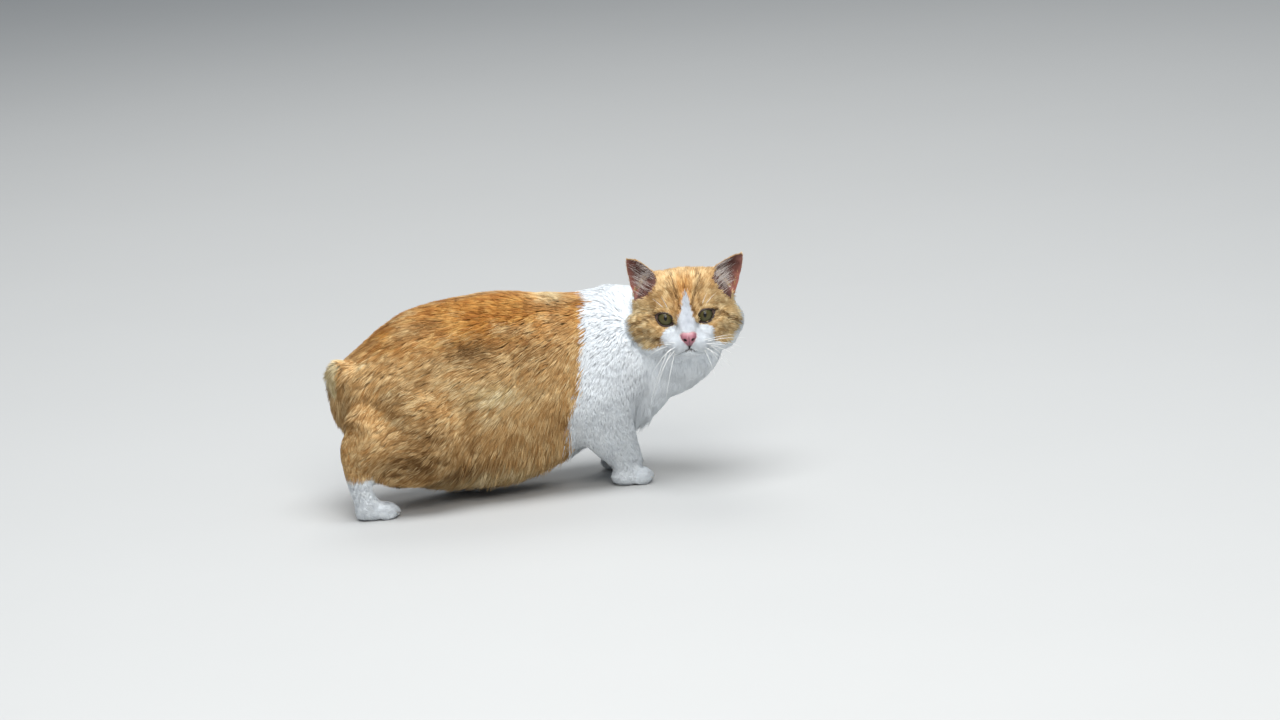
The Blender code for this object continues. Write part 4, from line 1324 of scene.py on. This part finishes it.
def eyeMaterial():
    sheet = Sheet("eye")
    across, up, _ = sheet.columns("gaze")
    away = (across * across + up * up) ** 0.5
    shape = across / eyeFinish["pupilWide"], up / eyeFinish["pupilTall"]
    pupil = (shape[0] * shape[0] + shape[1] * shape[1]).eased(1.25, 0.85)
    ray = sheet.node("ShaderNodeCombineXYZ", None, {0: across / away, 1: up / away,
                                                    2: away * 0.05})
    ray = sheet.noise(9.0, 4, ray, 0.7)
    ring = away / eyeFinish["iris"]
    colour = sheet.ramp(ring, ((0.22, (0.055, 0.034, 0.009)), (0.40, (0.072, 0.056, 0.017)),
                               (0.72, (0.066, 0.060, 0.022)), (0.92, (0.030, 0.026, 0.011)),
                               (1.05, (0.008, 0.006, 0.004))))
    # Painted light: the outer iris lighter low down and darker at the top, standing in for the upper
    # lid's shade and light from below
    irisLitBelow = (up * -0.09 + 0.35).eased(0.0, 1.0)
    white = sheet.mix((0.34, 0.24, 0.20), (0.20, 0.09, 0.07), sheet.noise(260, 4))
    colour = sheet.layers(colour, ((0.125, 0.112, 0.042), ray.eased(0.45, 0.75) * 0.45),
                          ((0.015, 0.014, 0.007), ray.eased(0.45, 0.2) * 0.55),
                          ((0.105, 0.100, 0.038), irisLitBelow * ring.eased(1.0, 0.75) * 0.45),
                          (white, ring.eased(1.04, 1.18)), ((0.004, 0.004, 0.004), pupil))
    return sheet.finish(Base_Color=colour, Roughness=0.30, Coat_Weight=0.55, Coat_Roughness=0.03,
                        Coat_IOR=1.36, Specular_IOR_Level=0.15)


def loopTube(points, sizes, sides, upward):    # a tube of changing size along a closed line
    along = unit(np.roll(points, -1, axis=0) - np.roll(points, 1, axis=0))
    across = unit(np.cross(along, unit(upward)))
    upward = np.cross(across, along)
    turn = np.arange(sides) / sides * 2 * math.pi
    rings = (points[:, None] + across[:, None] * (np.cos(turn)[:, None] * sizes[:, None, :1])
             + upward[:, None] * (np.sin(turn)[:, None] * sizes[:, None, 1:]))
    index = np.arange(len(points) * sides).reshape(-1, sides)
    return rings.reshape(-1, 3), ringFaces(index, closed=True)


lidShape = dict(radius=11.6, edge=0.35, wide=0.95, thick=0.75, sides=8, corner=2.2)


def makeLids():                      # the dark, bare rim round each eye
    points, faces, corner = [], [], []
    for eye in eyes:
        out = eye.opening - eye.opening.mean(axis=0)
        ring = eye.opening + unit(out) * lidShape["edge"]
        line = eye.onBall(ring, lidShape["radius"])
        inner = eye.opening[30]      # the corner by the nose
        sharp = bell(apart(ring, inner), lidShape["corner"])
        wide = lidShape["wide"] * (1 + 0.25 * sharp)
        sizes = np.stack([wide, np.full(len(wide), lidShape["thick"])], axis=1)
        rim, triangles = loopTube(line, sizes, lidShape["sides"], line - eye.centre)
        faces.append(triangles + sum(len(row) for row in points))
        points.append(rim)
        corner.append(np.repeat(sharp, lidShape["sides"]))
    mesh = meshFrom("lidRims", np.concatenate(points), np.concatenate(faces))
    faceOut(mesh)
    paint(mesh, "corner", (np.concatenate(corner), np.zeros(len(mesh.vertices))))
    return finished("lidRims", mesh, "lid")


def lidMaterial():
    sheet = Sheet("lid")
    corner, _, _ = sheet.columns("corner")
    grain = sheet.noise(700, 3)
    colour = sheet.layers((0.030, 0.015, 0.011), ((0.060, 0.032, 0.024), grain),
                          ((0.20, 0.075, 0.060), corner * 0.8))
    return sheet.finish(Base_Color=colour, Roughness=0.33, Normal=sheet.bump(grain, 0.3, 0.0003))


# The nose leather: the CAD's form, smoothed, with its nostrils opened and a groove
noseShape = dict(swell=0.35, cell=0.5, rounds=5, nostril=(4.5, -20.9), nostrilSize=(2.3, 1.45),
                 nostrilTurn=28, nostrilDepth=1.8, slit=0.5, groove=0.5, triangles=24000)


def makeNose():
    blank = remeshed(nodeShell(["nose"], noseShape["swell"]), noseShape["cell"])
    nose = Surface(pointsOf(blank), facesOf(blank, 4))
    nose.points = nose.relax(nose.points, noseShape["rounds"])
    local, normals = toHead(nose.points), nose.normals()
    a, b, c = local.T
    turn = math.radians(noseShape["nostrilTurn"])
    u = np.abs(a) - noseShape["nostril"][0]
    v = c - noseShape["nostril"][1]
    u, v = u * math.cos(turn) + v * math.sin(turn), v * math.cos(turn) - u * math.sin(turn)
    long, tall = noseShape["nostrilSize"]
    away = np.sqrt((u / long) ** 2 + (v / tall) ** 2)
    hole = (1 - ease(away, 0.55, 1.25)) * (normals @ headAxes[1] > 0)
    slit = bell(v + 0.15 * u, 0.5) * ease(u, 0, 2) * (1 - ease(u, 3.2, 4.6)) * (b > 16)
    groove = bell(a, 0.6) * (1 - ease(c, -19, -16))
    push = noseShape["nostrilDepth"] * hole + noseShape["slit"] * slit + noseShape["groove"] * groove
    nose.points -= normals * push[:, None]
    mesh = meshFrom("noseLeather", nose.points, nose.faces)
    rim = ease(np.abs(a), 5.5, 8.6) * (1 - ease(c, -16, -13.5)) + 0.7 * (1 - ease(c, -26, -21.5))
    # Painted shade: the nostrils, their slits and the middle groove darkened, standing in for the
    # shade in these hollows
    dark = np.clip(np.maximum(hole, 0.6 * slit) + 0.5 * groove, 0, 1)
    paint(mesh, "nose", (dark, np.clip(rim, 0, 1), ease(c, -17, -13)))
    return finished("noseLeather", thinned(mesh, noseShape["triangles"]), "nose")


def noseMaterial():
    sheet = Sheet("nose")
    dark, rim, top = sheet.columns("nose")
    pebbles = sheet.node("ShaderNodeTexVoronoi", dict(feature="SMOOTH_F1"),
                         {"Vector": sheet.place(), "Scale": 1500})
    # The last layer, the near black of nostrils, slits and groove, is painted shade
    colour = sheet.layers((0.33, 0.112, 0.150), ((0.43, 0.175, 0.205), sheet.noise(240, 3)),
                          ((0.16, 0.045, 0.075), rim * 0.8), ((0.62, 0.36, 0.36), top * 0.6),
                          ((0.045, 0.010, 0.012), dark))
    return sheet.finish(Base_Color=colour, Roughness=0.38, Coat_Weight=0.25, Coat_Roughness=0.25,
                        Normal=sheet.bump(pebbles, 0.45, 0.0004))


# Threads: fine tapering hairs that follow their paths, by Geometry Nodes

def threadNodes(name, shape, material):
    group = bpy.data.node_groups.new(name, "GeometryNodeTree")
    face = group.interface
    face.new_socket("Geometry", in_out="INPUT", socket_type="NodeSocketGeometry")
    face.new_socket("Radius", in_out="INPUT", socket_type="NodeSocketFloat")
    face.new_socket("Sides", in_out="INPUT", socket_type="NodeSocketInt")
    face.new_socket("Material", in_out="INPUT", socket_type="NodeSocketMaterial")
    face.new_socket("Geometry", in_out="OUTPUT", socket_type="NodeSocketGeometry")
    made = {}

    def add(kind, key, **links):
        node = made[key] = group.nodes.new(kind)
        for socket, (source, output) in links.items():
            number = int(socket[1:])
            group.links.new(made[source].outputs[output], node.inputs[number])
        return node

    add("NodeGroupInput", "in")
    add("GeometryNodeMeshToCurve", "line", i0=("in", "Geometry"))
    add("GeometryNodeSplineParameter", "along")
    taper = add("ShaderNodeMapRange", "taper", i0=("along", "Factor"))
    taper.inputs["From Min"].default_value = 0.15
    taper.inputs["To Min"].default_value, taper.inputs["To Max"].default_value = 1.0, 0.14
    size = add("ShaderNodeMath", "size", i0=("taper", "Result"), i1=("in", "Radius"))
    size.operation = "MULTIPLY"
    add("GeometryNodeSetCurveRadius", "sized", i0=("line", 0), i2=("size", 0))
    ring = add("GeometryNodeCurvePrimitiveCircle", "ring", i0=("in", "Sides"))
    ring.inputs["Radius"].default_value = 1.0
    tubes = add("GeometryNodeCurveToMesh", "tubes", i0=("sized", 0), i1=("ring", 0))
    tubes.inputs["Fill Caps"].default_value = True
    if "Scale" in tubes.inputs:
        group.links.new(made["size"].outputs[0], tubes.inputs["Scale"])
    add("GeometryNodeRealizeInstances", "real", i0=("tubes", 0))
    add("GeometryNodeSetMaterial", "painted", i0=("real", 0), i2=("in", "Material"))
    add("NodeGroupOutput", "out", i0=("painted", 0))
    return group, dict(Radius=shape["radius"] * mm, Sides=shape["sides"], Material=material)


def makeThreads(name, paths, shape, material):
    points = np.concatenate(paths)
    mesh = bpy.data.meshes.new(name)
    edges, base = [], 0
    for path in paths:
        edges += [(base + i, base + i + 1) for i in range(len(path) - 1)]
        base += len(path)
    mesh.from_pydata((points * mm).tolist(), edges, [])
    piece = place(name, mesh)
    group, values = threadNodes(name, shape, material)
    grow = piece.modifiers.new("grow", "NODES")
    grow.node_group = group
    for item in group.interface.items_tree:
        if item.item_type == "SOCKET" and item.in_out == "INPUT" and item.name in values:
            grow[item.identifier] = values[item.name]
    made = baked(piece)
    made.name = name
    made.shade_smooth()
    if not made.materials:
        made.materials.append(material)
    faceOut(made)
    return place(name, made)


def threadMaterial(name, root, tip):
    sheet = Sheet(name)
    return sheet.finish(Base_Color=sheet.mix(root, tip, sheet.noise(60, 2)), Roughness=0.35,
                        Specular_IOR_Level=0.5)


# Whiskers: where each starts on the pad, where its end lies from there, and its sag
whiskersLeft = (
    (12, -23.5, 36, 2, 4, -3), (13, -26.5, 33, -2, -8, -4), (14, -29.5, 25, 3, -22, -3),
    (16.5, -24.5, 42, -8, -1, -4), (17, -27.5, 30, -6, -16, -4), (18, -30.5, 15, 2, -24, -2),
    (20.5, -26, 34, -16, -10, -4), (21, -29, 22, -10, -26, -3), (15, -32, 9, 6, -30, -2),
)
whiskersRight = (
    (-12, -23.5, -22, 4, 1, -3), (-13, -26.5, -19, 4, -14, -3), (-14, -29.5, -20, 3, -27, -3),
    (-16.5, -24.5, -16, -3, -2, -3), (-17, -27.5, -24, 0, -26, -3), (-18, -30.5, -23, 2, -48, -3),
    (-20.5, -26, -26, -8, -13, -4), (-21, -29, -24, -4, -58, -3), (-15, -32, -15, 5, -54, -2),
)
browHairs = ((17, 9, 7, 7, 15), (21, 10, 12, 4, 12), (-17, 9, -7, 7, 15), (-21, 10, -12, 4, 12))

whiskerShape = dict(radius=0.33, sides=6, steps=13)


def makeWhiskers(tree):
    paths = []
    t = np.linspace(0, 1, whiskerShape["steps"])[:, None]
    for a, c, da, db, dc, sag in whiskersLeft + whiskersRight:
        start = toHead(ontoFace(tree, [(a, c)]))[0] - (0, 1.5, 0)
        end = start + (da, db, dc)
        bow = np.array((0.12 * da, 4.0, -sag))
        paths.append(fromHead(start + (end - start) * t + bow * 4 * t * (1 - t) * 0.5))
    for a, c, da, db, dc in browHairs:
        start = toHead(ontoFace(tree, [(a, c)]))[0] - (0, 1.0, 0)
        bow = np.array((0, 2, 2)) * t * (1 - t)
        paths.append(fromHead(start + np.array((da, db, dc)) * t + bow))
    return makeThreads("whiskers", paths, whiskerShape, materials["whisker"])


# A short curved claw at the tip of each toe, mostly sheathed in the coat
clawShape = dict(length=4.0, drop=2.6, radius=0.8, sides=8)


def makeClaws():
    paths = []
    t = np.linspace(0, 1, 7)[:, None]
    for x, y, length, half, height, _ in paws:
        for across, ahead in toeRows:
            start = np.array((x + length * (ahead + 0.155), y + half * across, height * 0.42))
            way = np.array((clawShape["length"], 0.25 * across * half / 10, 0))
            drop = np.array((0, 0, -clawShape["drop"]))
            paths.append(start + way * t + drop * t ** 2.2)
    return makeThreads("claws", paths, clawShape, materials["claw"])


# Long pale hairs from each ear's inner edge, lying across its open cup
earHairs = dict(perEar=165, reach=(9, 20), lift=1.6, radius=0.15, sides=4)


def makeEarHairs():
    dice = np.random.default_rng(21)
    local = toHead(skin.points)
    tip = 60                         # the height of the ears' tips over the eyes
    paths = []
    t = np.linspace(0, 1, 7)[:, None]
    for side in (1, -1):
        cup = (skin.inner > 0.5) & (local[:, 0] * side > 0)
        spots = np.flatnonzero(cup)
        edge = np.interp(local[spots, 2], (25, 45, 62), (44, 47, 60))
        spots = spots[local[spots, 0] * side < edge]
        for spot in dice.choice(spots, earHairs["perEar"]):
            start = local[spot]
            reach = dice.uniform(*earHairs["reach"])
            reach *= 0.15 + 0.85 * ease(tip - start[2], 0, 26)
            way = unit(np.array((side * 0.72, 0.15, 0.55)) + dice.normal(0, 0.10, 3))
            path = start + way * reach * t
            path[:, 1] += earHairs["lift"] * np.sin(t[:, 0] * math.pi) * dice.uniform(0.6, 1.6)
            path[:, 2] -= 1.5 * t[:, 0] ** 2
            paths.append(fromHead(path))
    return makeThreads("earHairs", paths, earHairs, materials["earHair"])


materials["eye"] = eyeMaterial()
materials["lid"] = lidMaterial()
materials["nose"] = noseMaterial()
materials["whisker"] = threadMaterial("whisker", (0.80, 0.80, 0.78), (0.92, 0.92, 0.90))
materials["earHair"] = threadMaterial("earHair", (0.40, 0.32, 0.28), (0.84, 0.78, 0.73))
materials["claw"] = threadMaterial("claw", (0.55, 0.45, 0.38), (0.66, 0.58, 0.50))

headTree = skinTree(skin)
eyePieces = [makeEye(eye) for eye in eyes]
lidPiece = makeLids()
nosePiece = makeNose()
whiskerPiece = makeWhiskers(headTree)
earHairPiece = makeEarHairs()
clawPiece = makeClaws()
print("eyes, nose and whiskers made")

# A plain studio: pale floor, soft light, and a camera at the photograph's angle
floorPlan = dict(size=30000, colour=(0.50, 0.50, 0.49))
cameraPlan = dict(at=(-1646.0, -7045.9, 1536.5), turn=-14.0, lift=11.0, roll=4.51, lens=200.0,
                  sensor=36.0, farthest=100)
skyGlow = dict(colour=(0.74, 0.83, 0.93), strength=0.31)
lampsAim = (0, 0, 100)
lights = {                           # place, size, power and colour
    "skyLight": ((-150, -700, 3400), 3000, 140, (0.96, 0.98, 1.0)),
    "keyLight": ((-450, -3200, 2400), 1900, 76, (1.0, 0.985, 0.96)),
    "backLight": ((500, 2600, 2600), 1800, 34, (1.0, 0.99, 0.97)),
}


def makeStudio():
    half = floorPlan["size"] / 2
    corners = np.array([(-half, -half, 0), (half, -half, 0), (half, half, 0), (-half, half, 0)])
    floor = place("floor", meshFrom("floor", corners, [(0, 1, 2, 3)]))
    sheet = Sheet("floorPaint")
    tint = sheet.noise(3, 3)
    colour = sheet.mix(floorPlan["colour"], tuple(c * 0.97 for c in floorPlan["colour"]), tint)
    floor.data.materials.append(sheet.finish(Base_Color=colour, Roughness=0.8))
    world = bpy.data.worlds.new("studio")
    world.use_nodes = True
    glow = world.node_tree.nodes["Background"].inputs
    glow["Color"].default_value = (*skyGlow["colour"], 1)
    glow["Strength"].default_value = skyGlow["strength"]
    bpy.context.scene.world = world
    for name, (at, size, power, colour) in lights.items():
        light = bpy.data.lights.new(name, "AREA")
        light.shape = "DISK"
        light.size, light.energy, light.color = size * mm, power, colour
        lamp = bpy.data.objects.new(name, light)
        lamp.location = Vector(at) * mm
        way = Vector(lampsAim) * mm - lamp.location
        lamp.rotation_euler = way.to_track_quat("-Z", "Y").to_euler()
        stage.objects.link(lamp)


def makeCamera():
    data = bpy.data.cameras.new("camera")
    data.lens, data.sensor_width = cameraPlan["lens"], cameraPlan["sensor"]
    data.clip_end = cameraPlan["farthest"]
    camera = bpy.data.objects.new("camera", data)
    away = Vector(bearing(cameraPlan["turn"], cameraPlan["lift"]))
    camera.location = Vector(cameraPlan["at"]) * mm
    look = (-away).to_track_quat("-Z", "Y").to_matrix().to_4x4()
    roll = Matrix.Rotation(math.radians(-cameraPlan["roll"]), 4, "Z")
    camera.rotation_euler = (look @ roll).to_euler()
    stage.objects.link(camera)
    bpy.context.scene.camera = camera


makeStudio()
makeCamera()
bpy.context.scene.view_settings.view_transform = "Standard"
print("studio ready")

# What rides, and what stands for which node

fleshNodes = [name for name in nodeNames if not name.startswith(("eye", "nose"))]
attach(skinPiece, "root")
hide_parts(*fleshNodes)
for piece in coatPieces:
    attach(piece, "root")
for eye, piece in zip(eyes, eyePieces):
    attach(piece, "root")
    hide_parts(eye.name)
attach(nosePiece, "root")
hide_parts("nose")
for piece in (lidPiece, whiskerPiece, earHairPiece, clawPiece):
    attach(piece, "root")
